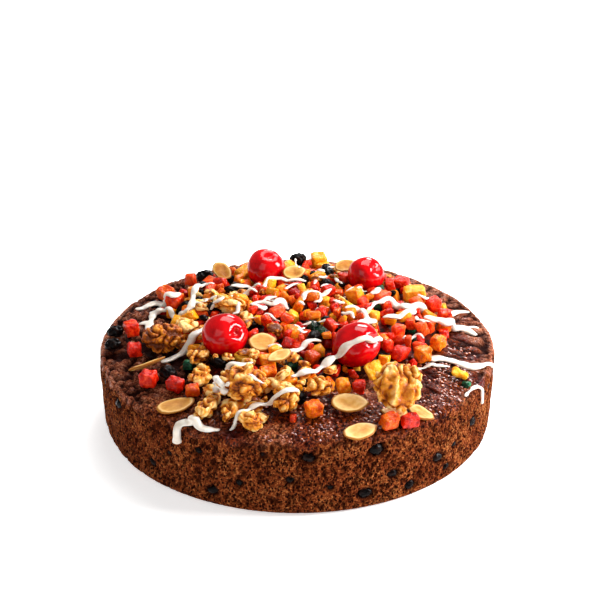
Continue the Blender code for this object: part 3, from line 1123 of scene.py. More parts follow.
@dataclass
class SyrupBeads:
    """Drops of set syrup that stand on the wet crust and catch the light."""

    count: int = 2600
    small: float = 0.5 * MM
    large: float = 1.2 * MM
    flat: float = 0.4
    inner: float = 60 * MM
    outer: float = 98 * MM
    seed: int = 23

    def build(self, bed: Bed, body: CakeBody) -> None:
        """Scatter the drops over the crust, most where it is wettest.

        Args:
            bed: The bed of heights, with nothing on it but the crust.
            body: The cake's body, which knows where it is wet.
        """
        chance = random.Random(self.seed)
        bead = kept_mesh("drop", ball(8, 5))
        shape = bmesh.new()
        for _ in range(self.count):
            angle = chance.uniform(-math.pi, math.pi)
            radius = chance.uniform(self.inner, self.outer)
            half = chance.uniform(self.small, self.large)
            place = Vector((*polar(radius, angle), 0.0))
            if chance.random() > body.moisture(place, angle) ** 2:
                continue
            place.z = bed.read(bed.top, place.x, place.y)
            stamp(shape, bead, drop_matrix(place, half, self.flat))
        place_piece("syrup_beads", shape, SYRUP)


# ---------------------------------------------------------------- single toppings


@dataclass
class Cherries:
    """Glace cherries, nearly round, with the dimple that the stone was pressed out of."""

    facing: tuple[tuple[float, float], ...] = ((58, 42), (20, 40), (45, 60), (62, 55))
    # How much longer each is than it is thick, and the lean of its long axis in degrees.
    ovals: tuple[tuple[float, float], ...] = ((1.03, 0), (0.98, 10), (1.04, -20), (1.14, 28))
    dimple: float = 0.2
    dimple_width: float = 0.3
    crease_width: float = 0.12
    crease_depth: float = 0.05
    uneven: float = 0.05

    def build(self) -> list[bpy.types.Object]:
        """Make every cherry at its CAD node's place and size.

        Returns:
            The cherries.
        """
        made = []
        for number, (tilt, turn) in enumerate(self.facing, 1):
            node = f"cherry_{number}"
            low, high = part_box(node)
            shape = ball(96, 64)
            for vert in shape.verts:
                across = vert.co.xy.length / self.dimple_width
                vert.co *= 1 + self.uneven * noise.noise(vert.co * 1.2 + Vector((number, 0, 0)))
                crease = math.exp(-(vert.co.y / self.crease_width) ** 2)
                crease *= max(vert.co.z, 0.0) ** 2
                vert.co.z -= self.dimple * math.exp(-across ** 2) * (vert.co.z > 0)
                vert.co *= 1 - self.crease_depth * crease
            turned = Matrix.Rotation(math.radians(turn), 4, "Z") @ Matrix.Rotation(
                math.radians(tilt), 4, "X")
            bmesh.ops.transform(shape, matrix=turned, verts=shape.verts)
            long, degrees = self.ovals[number - 1]
            lean = Matrix.Rotation(math.radians(-degrees), 4, "Y")
            oval = Matrix.Diagonal((math.sqrt(long), 1.0, 1 / math.sqrt(long), 1.0))
            bmesh.ops.transform(shape, matrix=lean @ oval @ lean.inverted(), verts=shape.verts)
            bmesh.ops.scale(shape, vec=(high - low) / 2, verts=shape.verts)
            bmesh.ops.translate(shape, vec=(low + high) / 2, verts=shape.verts)
            made.append(place_piece(f"glace_cherry_{number}", shape, CHERRY, [node]))
        return made


@dataclass
class Walnuts:
    """Shelled walnut halves and bits: round folds parted by deep creases."""

    lump_width: float = 9.0 * MM
    lump_depth: float = 1.6 * MM
    fold_width: float = 5.0 * MM
    fold_depth: float = 2.6 * MM
    wrinkle_width: float = 2.2 * MM
    wrinkle_depth: float = 0.7 * MM
    # How much skin each kernel has lost, from 0, still brown, to 1, all pale.
    tones: tuple[float, ...] = (0.5, 0.45, 0.05, 0.45, 0.35, 0.6, 0.5, 0.4, 0.8, 0.5, 0.6, 0.5)
    fine_faces: int = 600
    opened: int = 1
    # Middles and sizes of the hollows in the opened kernel, against its half width.
    hollows: tuple[tuple[float, float, float], ...] = (
        (0.45, 0.32, 0.3), (0.2, -0.3, 0.26), (-0.42, -0.35, 0.22), (-0.3, 0.3, 0.16))

    def inner_face(self, place: Vector, half: float) -> tuple[float, float, float, float]:
        """The inside of a half shell's kernel: a pale ridge between smooth hollows.

        Args:
            place: The point, from the kernel's middle.
            half: Half the kernel's width.

        Returns:
            How far the inner face shows, from 0 to 1, its outward move in metres, its tone
            and how high it stands in its folds, lowered along the ridge's foot as painted shade.
        """
        across = place.x / half
        along = (place.y * 0.48 + place.z * 0.87) / half
        shown = smoothstep(0.1, 0.55, (place.z * 0.48 - place.y * 0.87) / half)
        shown *= 1 - smoothstep(0.6, 0.95, math.hypot(across, along))
        off = across * 0.92 - along * 0.38
        ridge = math.exp(-(off / 0.14) ** 2)
        hollow = max(math.exp(-((across - u) ** 2 + (along - v) ** 2) / size ** 2)
                     for u, v, size in self.hollows)
        # foot_shade: thin dark lines along the ridge's foot, over no groove: painted shade.
        foot_shade = math.exp(-((abs(off) - 0.27) / 0.07) ** 2) * noise.noise(place / (4 * MM)) ** 2
        move = (1.8 * ridge - 3.6 * hollow) * MM
        return shown, move, 0.42 + 0.5 * ridge, 0.6 - 1.6 * foot_shade

    def fold(self, shape: bmesh.types.BMesh, number: int) -> dict[str, list[float]]:
        """Press the folds into a kernel.

        Args:
            shape: The kernel's smooth form.
            number: The kernel's number, which sets its own pattern.

        Returns:
            How high each vertex stands in its fold, and its tone, each from 0 to 1.
        """
        middle = sum((vert.co for vert in shape.verts), Vector()) / len(shape.verts)
        half = max((vert.co - middle).length for vert in shape.verts) * 0.9
        values: dict[str, list[float]] = {"fold": [], "tone": []}
        moves = []
        for vert in shape.verts:
            folds = billow(vert.co, self.fold_width, number)
            wrinkles = billow(vert.co, self.wrinkle_width, number + 20)
            lump = noise.noise(vert.co / self.lump_width + Vector((number * 2.0, 0, 0)))
            tone = self.tones[number - 1] + 0.25 * noise.noise(vert.co / (4 * MM))
            move = (lump * self.lump_depth - (1 - folds) * self.fold_depth
                    - (1 - wrinkles) * self.wrinkle_depth + 0.3 * self.fold_depth)
            # raised sets the colour: low in the creases, where the finish paints shade.
            raised = 0.66 * folds + 0.34 * wrinkles
            if number == self.opened:
                shown, inner, pale, rise = self.inner_face(vert.co - middle, half)
                move += (inner - move) * shown
                raised += (rise - raised) * shown
                tone += (pale - tone) * shown
            moves.append(vert.normal * move)
            values["fold"].append(raised)
            values["tone"].append(tone)
        for vert, move in zip(shape.verts, moves):
            vert.co += move
        return values

    def build(self) -> list[bpy.types.Object]:
        """Make every kernel from its CAD node.

        Returns:
            The kernels.
        """
        made = []
        for number, node in enumerate(names_of("walnut_"), 1):
            fine = len(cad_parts[node].data.polygons) > self.fine_faces
            shape = softened_copy(node, 3 if fine else 5, 6)
            values = self.fold(shape, number)
            made.append(place_piece(node.replace("walnut", "walnut_kernel"), shape, KERNEL,
                                    [node], values))
        return made


@dataclass
class AlmondFlakes:
    """Flaked almonds: thin, a little bent, broad at one end and pointed at the other."""

    thickness: float = 1.5 * MM
    taper: float = 0.12
    point: float = 0.34
    blunt: float = 0.14
    bend: float = 0.6 * MM
    vein: float = 0.18
    ragged: float = 0.05
    # How much browner than the rest each flake is toasted.
    toast: tuple[float, ...] = (0.12, 0.06, 0.06, 0.0, 0.0, 0.0, 0.0, 0.04, 0.22, 0.1, 0.12)

    def build(self) -> list[bpy.types.Object]:
        """Make every flake at its CAD node's place and size.

        Returns:
            The flakes.
        """
        made = []
        for number, node in enumerate(names_of("almond_"), 1):
            axes = Axes.of(node)
            shape = ball(64, 24)
            rims = []
            half = axes.sizes / 2
            for vert in shape.verts:
                across = min(vert.co.xy.length, 1.0)
                # rim: a pale band just inside the edge, painted highlight, then the skin line;
                # toast browns the middle.
                rims.append(across ** 6 - self.toast[number - 1] * (1 - across ** 6))
                x, y = vert.co.x, vert.co.y
                y *= 1 - self.taper * x - self.point * max(x, 0.0) ** 3
                y *= 1 - self.blunt * max(-x, 0.0) ** 3
                thick = math.copysign(math.sqrt(max(1 - across ** 6, 0.0)), vert.co.z)
                vein = noise.noise(Vector((x * 1.5, y * 6.0, number)))
                wave = noise.noise(Vector((x * 1.1, y * 1.1, number + 40.0)))
                height = thick * self.thickness / 2 * (1 + self.vein * vein)
                height += self.bend * (wave + 0.8 * (x * x - 0.4))
                edge = 1 + self.ragged * noise.noise(Vector((x * 2.5, y * 2.5, number * 2.0)))
                vert.co = Vector((x * half.x * 1.03 * edge, y * half.y * edge, height))
            bmesh.ops.transform(shape, matrix=axes.matrix(), verts=shape.verts)
            made.append(place_piece(node.replace("almond", "almond_flake"), shape, ALMOND,
                                    [node], {"rim": rims}))
        return made


@dataclass
class LaidPieces:
    """Diced fruit and raisins that lie clear of the heap, each from its own CAD node."""

    worn: float = 0.75 * MM
    lump_width: float = 3.6 * MM
    grain_width: float = 1.4 * MM
    dent_width: float = 4.0 * MM
    # How pale each diced piece is, from 0 to 1, in the order of their numbers.
    tones: tuple[float, ...] = (0.5, 0.5, 0.4, 0.4, 0.3, 0.1, 0.35, 0.15, 0.35, 0.35, 0.55,
                                0.4, 0.7, 0.5, 0.45, 0.6, 0.9, 0.45, 0.5, 0.55, 0.2, 0.65)
    wrinkle_width: float = 2.4 * MM
    wrinkle: float = 0.55 * MM
    swell: float = 1.6

    def dice(self, node: str, finish: Finish, number: int) -> bpy.types.Object:
        """Wear a CAD cube down to a soft candied one.

        Args:
            node: The CAD node.
            finish: Its fruit.
            number: Sets its own pattern.

        Returns:
            The piece.
        """
        shape = softened_copy(node, 5, 5)
        for vert in shape.verts:
            lump = noise.noise(vert.co / self.lump_width + Vector((number, 0, 0)))
            lump += 0.4 * noise.noise(vert.co / self.grain_width)
            dent = 1 - billow(vert.co, self.dent_width, number)
            vert.co += vert.normal * ((lump - 0.6 * dent) * self.worn)
        tone = self.tones[number % len(self.tones)]
        return place_piece(node.replace("candied", "diced"), shape, finish, [node],
                           {"tone": [tone] * len(shape.verts)})

    def raisin(self, node: str, number: int) -> bpy.types.Object:
        """Wrinkle a CAD raisin.

        Args:
            node: The CAD node.
            number: Sets its own pattern.

        Returns:
            The piece.
        """
        shape = softened_copy(node, 4, 4)
        folds = [billow(vert.co, self.wrinkle_width, number) for vert in shape.verts]
        for vert, fold in zip(shape.verts, folds):
            vert.co += vert.normal * (fold - 0.55) * self.wrinkle * self.swell
        return place_piece(node.replace("raisin", "whole_raisin"), shape, RAISIN, [node],
                           {"fold": folds})

    def build(self) -> list[bpy.types.Object]:
        """Make every laid piece.

        Returns:
            The pieces.
        """
        made = []
        for finish in (RED, ORANGE, YELLOW):
            for node in names_of(finish.slot):
                made.append(self.dice(node, finish, int(node[-2:])))
        for number, node in enumerate(names_of("raisin_"), 1):
            made.append(self.raisin(node, number))
        return made


# ---------------------------------------------------------------- the heap


class Kind(Enum):
    """What a loose piece of the heap is."""

    RED = RED
    ORANGE = ORANGE
    YELLOW = YELLOW
    GREEN = GREEN
    RAISIN = RAISIN
    NUT = KERNEL


@dataclass
class LooseForm:
    """One form that loose pieces share, at true size about its own middle."""

    mesh: bpy.types.Mesh
    points: np.ndarray
    folds: list[float]

    @classmethod
    def of(cls, shape: bmesh.types.BMesh, folds: list[float] | None = None) -> "LooseForm":
        """Keep a bmesh as a form.

        Args:
            shape: The form. It is freed.
            folds: How high each vertex stands in its fold.

        Returns:
            The form with its points.
        """
        mesh = kept_mesh("loose_form", shape)
        return cls(mesh, surface_points(mesh, 0.6 * MM), folds or [1.0] * len(mesh.vertices))


def dice_form(chance: random.Random, size: float) -> LooseForm:
    """A diced candied fruit.

    Args:
        chance: The source of chance.
        size: Its mean side, in metres.

    Returns:
        The form.
    """
    shape = bmesh.new()
    bmesh.ops.create_cube(shape, size=1.0)
    sides = [size * chance.uniform(0.7, 1.15) for _ in range(3)]
    wedge = chance.uniform(0.5, 1.0)
    for vert in shape.verts:
        vert.co.x *= wedge if vert.co.z > 0 else 1.0
        vert.co = Vector([(vert.co[axis] + chance.uniform(-0.14, 0.14)) * sides[axis]
                          for axis in range(3)])
    bmesh.ops.bevel(shape, geom=shape.edges, offset=size * chance.uniform(0.12, 0.2),
                    offset_type="OFFSET", segments=2, profile=0.5, affect="EDGES", material=-1)
    shift = Vector((chance.uniform(0, 50), chance.uniform(0, 50), chance.uniform(0, 50)))
    for vert in shape.verts:
        vert.co *= 1 + 0.3 * noise.noise(vert.co / (3.0 * MM) + shift)
    return LooseForm.of(shape)


@dataclass(frozen=True)
class Folding:
    """How a raisin or a nut bit is made from a ball, in shares of its length."""

    wide: tuple[float, float]
    high: tuple[float, float]
    stretch: float
    fold_width: float
    fold_depth: float
    lump_depth: float = 0.0


RAISIN_FOLDS = Folding((0.36, 0.42), (0.28, 0.36), 0.55, 0.55, 0.3)
NUT_FOLDS = Folding((0.3, 0.42), (0.2, 0.34), 1.0, 0.8, 0.34, 0.3)


def folded_form(shape: bmesh.types.BMesh, chance: random.Random, size: float,
                folding: Folding) -> LooseForm:
    """A raisin or a broken bit of kernel.

    Args:
        shape: A ball of radius 1. It is freed.
        chance: The source of chance.
        size: The form's length, in metres.
        folding: Its proportions and its folds.

    Returns:
        The form.
    """
    half = Vector((0.5, chance.uniform(*folding.wide), chance.uniform(*folding.high))) * size
    shift = chance.uniform(0, 50)
    folds = []
    for vert in shape.verts:
        drawn = Vector((vert.co.x * folding.stretch, vert.co.y, vert.co.z))
        fold = billow(drawn, folding.fold_width, shift)
        folds.append(fold)
        lump = noise.noise(vert.co * 1.1 + Vector((shift,) * 3))
        vert.co *= 1 + folding.fold_depth * (fold - 0.6) + folding.lump_depth * lump
    bmesh.ops.scale(shape, vec=half, verts=shape.verts)
    return LooseForm.of(shape, folds)


def raisin_form(chance: random.Random, size: float) -> LooseForm:
    """A wrinkled raisin of a length in metres."""
    return folded_form(ball(18, 11), chance, size, RAISIN_FOLDS)


def nut_form(chance: random.Random, size: float) -> LooseForm:
    """A broken bit of kernel.

    Args:
        chance: The source of chance.
        size: Its length, in metres.

    Returns:
        The form.
    """
    shape = bmesh.new()
    bmesh.ops.create_icosphere(shape, subdivisions=3, radius=1.0)
    return folded_form(shape, chance, size, NUT_FOLDS)


class Pile:
    """Loose pieces of one kind, merged into one piece of the model."""

    def __init__(self, name: str, kind: Kind) -> None:
        """Start an empty pile.

        Args:
            name: The merged piece's name.
            kind: What it is made of.
        """
        self.name = name
        self.kind = kind
        self.shape = bmesh.new()
        self.tones: list[float] = []
        self.folds: list[float] = []

    def add(self, form: LooseForm, matrix: Matrix, tone: float) -> None:
        """Add a piece.

        Args:
            form: Its form.
            matrix: Its turn and place.
            tone: Its own tint, from 0 to 1.
        """
        stamp(self.shape, form.mesh, matrix)
        self.tones += [tone] * len(form.folds)
        self.folds += form.folds

    def build(self) -> None:
        """Make the merged piece, if anything was added."""
        if self.tones:
            place_piece(self.name, self.shape, self.kind.value,
                        values={"tone": self.tones, "fold": self.folds})


@dataclass
class FruitHeap:
    """The diced fruit, raisins and nut bits that fill the middle of the top."""

    bed: Bed
    # The farthest that the outline and the scattered pieces lie from the axis.
    reach: float = 95 * MM
    spread: float = 88 * MM
    core_inset: float = 3 * MM
    core_drop: float = 6.5 * MM
    core_lump: float = 1.2 * MM
    sink: float = 1.5 * MM
    slack: float = 1.0 * MM
    nut_slack: float = 4.0 * MM
    # Forms of each kind, turns that a chosen piece tries and places that a scattered one tries.
    forms_each: int = 14
    turns: int = 12
    places: int = 14
    seed: int = 11
    goal: np.ndarray = field(init=False)

    # What lies on top, from the back to the front: kind, x, y and size in mm, and tint.
    chosen: tuple[tuple[Kind, float, float, float, float], ...] = (
        (Kind.YELLOW, 14, 73, 8, 0.5), (Kind.RAISIN, -3, 70, 7, 0.5),
        (Kind.RAISIN, 3, 71, 8, 0.5), (Kind.RAISIN, 20, 70, 7, 0.5),
        (Kind.RAISIN, 12, 66, 6, 0.5), (Kind.YELLOW, 25, 67, 7, 0.1),
        (Kind.RED, 8, 63, 8, 0.6), (Kind.RAISIN, -50, 68, 7, 0.5),
        (Kind.RED, -43, 66, 6.5, 0.5), (Kind.RED, -58, 64, 8, 0.8),
        (Kind.RED, 58, 58, 7, 0.8), (Kind.RED, 16, 49, 7, 0.7),
        (Kind.ORANGE, -31, 49, 9, 0.5), (Kind.ORANGE, -70, 47, 5.5, 0.2),
        (Kind.RAISIN, 52, 42, 7, 0.5), (Kind.YELLOW, 62, 42, 10, 0.5),
        (Kind.ORANGE, 8, 40, 8, 0.6), (Kind.RED, -63, 37, 8, 0.5),
        (Kind.NUT, -44, 37, 9, 0.2), (Kind.RED, 70, 36, 8, 0.4),
        (Kind.ORANGE, 76, 33, 5.5, 0.7), (Kind.RED, 13, 33, 6.5, 0.6),
        (Kind.NUT, -9, 33, 9, 0.3), (Kind.ORANGE, 51, 33, 8, 0.5),
        (Kind.RED, 21, 32, 8, 0.9), (Kind.RED, -70, 27, 5, 0.2),
        (Kind.RED, -1, 25, 8, 0.1), (Kind.ORANGE, 30, 24, 10, 0.7),
        (Kind.RAISIN, -49, 23, 8, 0.5), (Kind.RED, -10, 22, 7, 0.8),
        (Kind.RED, -21, 22, 7, 0.5), (Kind.YELLOW, -40, 21, 9, 0.8),
        (Kind.RED, 76, 21, 7.5, 0.7), (Kind.RED, 62, 18, 8, 0.9),
        (Kind.ORANGE, 14, 16, 6.5, 0.9), (Kind.ORANGE, -29, 16, 10, 0.7),
        (Kind.RED, 21, 13, 7, 0.2), (Kind.RED, 8, 12, 6.5, 0.3),
        (Kind.RAISIN, 40, 12, 8, 0.5), (Kind.ORANGE, -48, 9, 7, 0.0),
        (Kind.ORANGE, 13, 6, 7, 0.2), (Kind.NUT, -8, 5, 8, 0.3),
        (Kind.RED, 3, 2, 6, 0.7), (Kind.RED, 67, 2, 8, 0.8),
        (Kind.RED, 45, 2, 5.5, 0.5), (Kind.RED, -49, 1, 6, 0.3),
        (Kind.YELLOW, 18, 1, 5.5, 0.3), (Kind.GREEN, 58, -1, 5, 0.8),
        (Kind.ORANGE, 27, -2, 9.5, 0.6), (Kind.YELLOW, -2, -2, 8, 0.6),
        (Kind.YELLOW, 47, -2, 7, 0.4), (Kind.RAISIN, -22, -5, 8, 0.5),
        (Kind.RAISIN, 53, -5, 7, 0.5), (Kind.RED, 37, -7, 9, 0.6),
        (Kind.RED, 72, -7, 7, 0.6), (Kind.RED, -14, -8, 8, 0.2),
        (Kind.RED, 3, -10, 5.5, 0.2), (Kind.GREEN, 8, -12, 6.5, 0.2),
        (Kind.RAISIN, 21, -12, 10, 0.5), (Kind.GREEN, 59, -12, 7, 0.3),
        (Kind.ORANGE, -7, -14, 7, 0.1), (Kind.ORANGE, 70, -15, 6, 0.6),
        (Kind.RED, -50, -15, 6.5, 0.9), (Kind.GREEN, 11, -17, 6, 0.3),
        (Kind.RED, 50, -17, 7, 0.8), (Kind.ORANGE, 43, -20, 8, 0.5),
        (Kind.ORANGE, -2, -21, 9, 0.6), (Kind.ORANGE, 55, -21, 6.5, 0.0),
        (Kind.RED, 15, -24, 6.5, 0.1), (Kind.RAISIN, 42, -31, 7, 0.5),
        (Kind.GREEN, -53, -34, 6, 0.6), (Kind.RED, -17, -37, 9, 0.8),
        (Kind.RED, 16, -37, 6, 0.2), (Kind.GREEN, 1, -38, 5, 1.0),
        (Kind.ORANGE, 7, -41, 9, 0.0), (Kind.RED, 27, -45, 6.0, 0.5),
        (Kind.GREEN, 82, -46, 4.5, 0.6), (Kind.RED, 18, -45, 6.5, 0.4),
        (Kind.GREEN, -3, -45, 7, 0.2), (Kind.ORANGE, -14, -47, 8, 0.5),
        (Kind.RED, -26, -70, 6.5, 0.5), (Kind.RED, -24, -79, 4.5, 0.4),
        (Kind.RED, -2, -82, 5, 0.6), (Kind.NUT, -40, -60, 13, 0.7),
        (Kind.NUT, -16, -58, 12, 0.5), (Kind.NUT, -30, -51, 11, 0.5),
        (Kind.NUT, -18, -82, 11, 0.7), (Kind.NUT, -58, -13, 10, 0.4),
        (Kind.NUT, -40, -68, 11, 0.6), (Kind.NUT, -30, -75, 13, 0.4),
        (Kind.NUT, -45, -64, 12, 0.5), (Kind.NUT, -24, -63, 12, 0.3),
        (Kind.NUT, -39, -74, 12, 0.5), (Kind.NUT, -20, -77, 12, 0.4),
        (Kind.NUT, -48, -50, 11, 0.3),
    )

    def __post_init__(self) -> None:
        """Start the source of chance, and the piles and the forms of every kind."""
        self.chance = random.Random(self.seed)
        self.piles = {kind: Pile(f"heap_{kind.name.lower()}", kind) for kind in Kind}
        self.forms = {kind: [] for kind in Kind}
        for kind in Kind:
            for _ in range(self.forms_each):
                size = self.chance.uniform(6.0, 8.6) * MM
                if kind is Kind.RAISIN:
                    form = raisin_form(self.chance, size * 1.25)
                elif kind is Kind.NUT:
                    form = nut_form(self.chance, size * 1.25)
                else:
                    form = dice_form(self.chance, size)
                self.forms[kind].append(form)

    def measure(self) -> None:
        """Read the heap's height from its CAD node."""
        points = surface_points(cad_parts["fruit_mix"].data, 0.4 * MM)
        plain = np.zeros_like(self.bed.top)
        np.maximum.at(plain, self.bed.cells(points), points[:, 2])
        for _ in range(2):
            sides = [np.roll(plain, step, axis) for step in (-1, 1) for axis in (0, 1)]
            plain = np.maximum.reduce([plain, *sides])
        self.goal = plain

    def build_core(self) -> None:
        """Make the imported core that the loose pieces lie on."""
        rings = 30
        line = [(step / rings, 1.0) for step in range(rings + 1)]
        line += [(step / rings, 0.0) for step in reversed(range(rings))]
        shape = turned_body(line, segments=120)
        body = CakeBody()
        for vert in shape.verts:
            angle = math.atan2(vert.co.y, vert.co.x)
            share = vert.co.xy.length
            edge = self.edge_radius(angle) - self.core_inset
            x, y = math.cos(angle) * edge * share, math.sin(angle) * edge * share
            floor = body.top_height(edge * share)
            goal = self.goal_at(x, y)
            lump = self.core_lump * noise.noise(Vector((x, y, 0.0)) / (6 * MM))
            top = max(goal - self.core_drop + lump, floor + 0.2 * MM)
            if share > 0.97:
                top = floor - 0.5 * MM
            vert.co = (x, y, top if vert.co.z > 0.5 else min(floor, top) - 2.0 * MM)
        bmesh.ops.recalc_face_normals(shape, faces=shape.faces)
        core = place_piece("heap_core", shape, MIX, ["fruit_mix"])
        self.bed.cover(surface_points(core.data, 0.5 * MM))

    def goal_at(self, x: float, y: float) -> float:
        """Height that the heap should reach at a place."""
        row, column = (int((value + self.bed.reach) / self.bed.cell) for value in (x, y))
        return float(self.goal[row, column])

    def edge_radius(self, angle: float) -> float:
        """Distance from the axis to the heap's outline.

        Args:
            angle: The direction about the axis, in radians.

        Returns:
            The distance, in metres.
        """
        radius = self.reach
        while radius > 30 * MM and self.goal_at(*polar(radius, angle)) == 0.0:
            radius -= 0.5 * MM
        return radius

    def settle(self, form: LooseForm, turn: Matrix, x: float, y: float,
               scale: float = 1.0, slack: float = 0.6 * MM) -> tuple[float, np.ndarray] | None:
        """Lower a piece onto the bed.

        Args:
            form: The piece's form.
            turn: Its turn.
            x: Its place along X.
            y: Its place along Y.
            scale: Its size against the form's.
            slack: How far it may press into a kept piece, in metres.

        Returns:
            Its height and its points in place, or None if it would cut a kept piece.
        """
        points = form.points @ np.array(turn.to_3x3()).T * scale + np.array((x, y, 0.0))
        cells = self.bed.cells(points)
        lift = float((self.bed.top[cells] - points[:, 2]).max()) - self.sink
        points[:, 2] += lift
        if (points[:, 2] > self.bed.ceiling[cells] + slack).any():
            return None
        return lift, points

    def random_turn(self, spread: float) -> Matrix:
        """A turn about the vertical, with some tilt.

        Args:
            spread: How far the tilt strays, in radians.

        Returns:
            The turn.
        """
        spin = Matrix.Rotation(self.chance.uniform(0, 2 * math.pi), 4, "Z")
        tilt = Matrix.Rotation(self.chance.gauss(0, spread), 4, "X")
        return Matrix.Rotation(self.chance.uniform(0, 2 * math.pi), 4, "Z") @ tilt @ spin

    def pick_kind(self, x: float, y: float) -> Kind:
        """Choose a kind by chance, as it is mixed in that part of the heap.

        Args:
            x: Place along X, in metres.
            y: Place along Y, in metres.

        Returns:
            The kind.
        """
        weights = {Kind.RED: 56, Kind.ORANGE: 28, Kind.YELLOW: 6, Kind.GREEN: 2,
                   Kind.RAISIN: 5, Kind.NUT: 3}
        if x < -25 * MM and y < 40 * MM:
            weights.update({Kind.RED: 24, Kind.RAISIN: 14, Kind.NUT: 34})
        if x < 5 * MM and y < -38 * MM:
            weights.update({Kind.RED: 12, Kind.ORANGE: 10, Kind.NUT: 70, Kind.RAISIN: 6})
        if y > 45 * MM:
            weights.update({Kind.RAISIN: 14, Kind.YELLOW: 14, Kind.NUT: 10})
        return self.chance.choices(list(weights), list(weights.values()))[0]

    def build(self) -> None:
        """Lay the loose pieces: a rough layer, then the chosen ones, then the gaps."""
        self.measure()
        self.build_core()
        self.fill(260, -4.0 * MM)
        for kind, x, y, size, tone in self.chosen:
            form = self.chance.choice(self.forms[kind])
            scale = 0.95 * size * MM / float(np.ptp(form.points, axis=0).max())
            self.drop(kind, form, (x * MM, y * MM), scale, tone)
        self.fill(400, 2.2 * MM)
        self.fill(300, 1.2 * MM, (0.5, 0.8))
        for pile in self.piles.values():
            pile.build()

    def drop(self, kind: Kind, form: LooseForm, place: tuple[float, float],
             scale: float, tone: float) -> None:
        """Lay one chosen piece, in the first turn that fits.

        Args:
            kind: What it is.
            form: Its form.
            place: Its x and y.
            scale: Its size against the form's.
            tone: Its tint.
        """
        slack = self.nut_slack if kind is Kind.NUT else self.slack
        for _ in range(self.turns):
            turn = self.random_turn(0.3)
            found = self.settle(form, turn, *place, scale, slack)
            if found:
                lift, points = found
                self.bed.cover(points)
                where = Matrix.Translation((*place, lift)) @ turn @ Matrix.Scale(scale, 4)
                self.piles[kind].add(form, where, tone)
                return
        LOG.info("no room for a %s at %s", kind.name, place)

    def fill(self, count: int, allowed: float,
             sizes: tuple[float, float] = (0.9, 1.1)) -> None:
        """Lay pieces by chance, each in the lowest of several places.

        Args:
            count: How many to try.
            allowed: How far above the heap's goal a piece may reach.
            sizes: Smallest and largest size against the forms'.
        """
        laid = 0
        for _ in range(count):
            best = None
            for _ in range(self.places):
                angle = self.chance.uniform(0, 2 * math.pi)
                x, y = polar(self.spread * math.sqrt(self.chance.random()), angle)
                goal = self.goal_at(x, y)
                if goal == 0.0:
                    continue
                kind = self.pick_kind(x, y)
                form = self.chance.choice(self.forms[kind])
                turn = self.random_turn(0.45) @ Matrix.Scale(self.chance.uniform(*sizes), 4)
                found = self.settle(form, turn, x, y)
                if not found:
                    continue
                over = float(found[1][:, 2].max()) - goal
                if over < allowed and (best is None or over < best[0]):
                    best = (over, kind, form, turn, x, y, found)
            if best:
                _, kind, form, turn, x, y, (lift, points) = best
                self.bed.cover(points)
                tone = min(max(self.chance.gauss(0.5, 0.22), 0.0), 1.0)
                self.piles[kind].add(form, Matrix.Translation((x, y, lift)) @ turn, tone)
                laid += 1
        LOG.info("laid %d of %d loose pieces", laid, count)


# ---------------------------------------------------------------- raisins in the side


@dataclass
class SideRaisins:
    """Raisins baked into the side, cut off by the tin, so they lie almost flush."""

    shown: tuple[SideSpot, ...] = (
        (-135, 12, 6), (-114, 9, 7.5), (-106, 16, 5), (-92, 20, 5.5), (-87, 32, 8),
        (-68, 32, 9), (-63, 17, 7), (-71, 9, 9), (-57, 7, 7), (-47, 16, 8), (-43, 8, 5.5),
        (-40, 18, 5), (-128, 22, 4.5), (-118, 29, 5), (-99, 33, 4.5), (-81, 15, 4),
    )
    seed: int = 5
    sink: float = 1.5 * MM
    # The smooth side: its radius at the base, and the shoulder's height in mm.
    base_radius: float = 99.0 * MM
    shoulder: float = 37.0

    def places(self) -> list[SideSpot]:
        """Place the raisins that don't show by chance, all round the back.

        Returns:
            Every raisin in the side.
        """
        chance = random.Random(self.seed)
        found = list(self.shown)
        angle = -30.0
        while angle < 215:
            found.append((angle, chance.uniform(6, 33), chance.uniform(4.5, 9)))
            angle += chance.uniform(6, 15)
        return found

    def build(self) -> None:
        """Make the raisins all round as one piece."""
        chance = random.Random(self.seed + 1)
        pile = Pile("side_raisins", Kind.RAISIN)
        for turn, height, length in self.places():
            form = raisin_form(chance, 0.9 * length * MM)
            lean = math.radians(turn)
            depth = length * 0.14 * MM + self.sink
            bulge = math.sin(height / self.shoulder * math.pi / 2) * MM
            radius = self.base_radius + bulge - depth
            spin = Matrix.Rotation(chance.uniform(-0.6, 0.6), 4, "Z")
            flat = Matrix.Rotation(lean, 4, "Z") @ Matrix.Rotation(math.pi / 2, 4, "Y")
            swing = Matrix.Rotation(math.pi / 2, 4, "Z")
            where = Matrix.Translation((*polar(radius, lean), height * MM))
            pile.add(form, where @ flat @ swing @ spin, 0.5)
        pile.build()


# ---------------------------------------------------------------- icing


@dataclass(frozen=True)
class Strand:
    """A run of icing: its points from above in mm, its width in mm and its drip down the side."""

    points: tuple[tuple[float, float], ...]
    width: float
    drip: float = 0.0


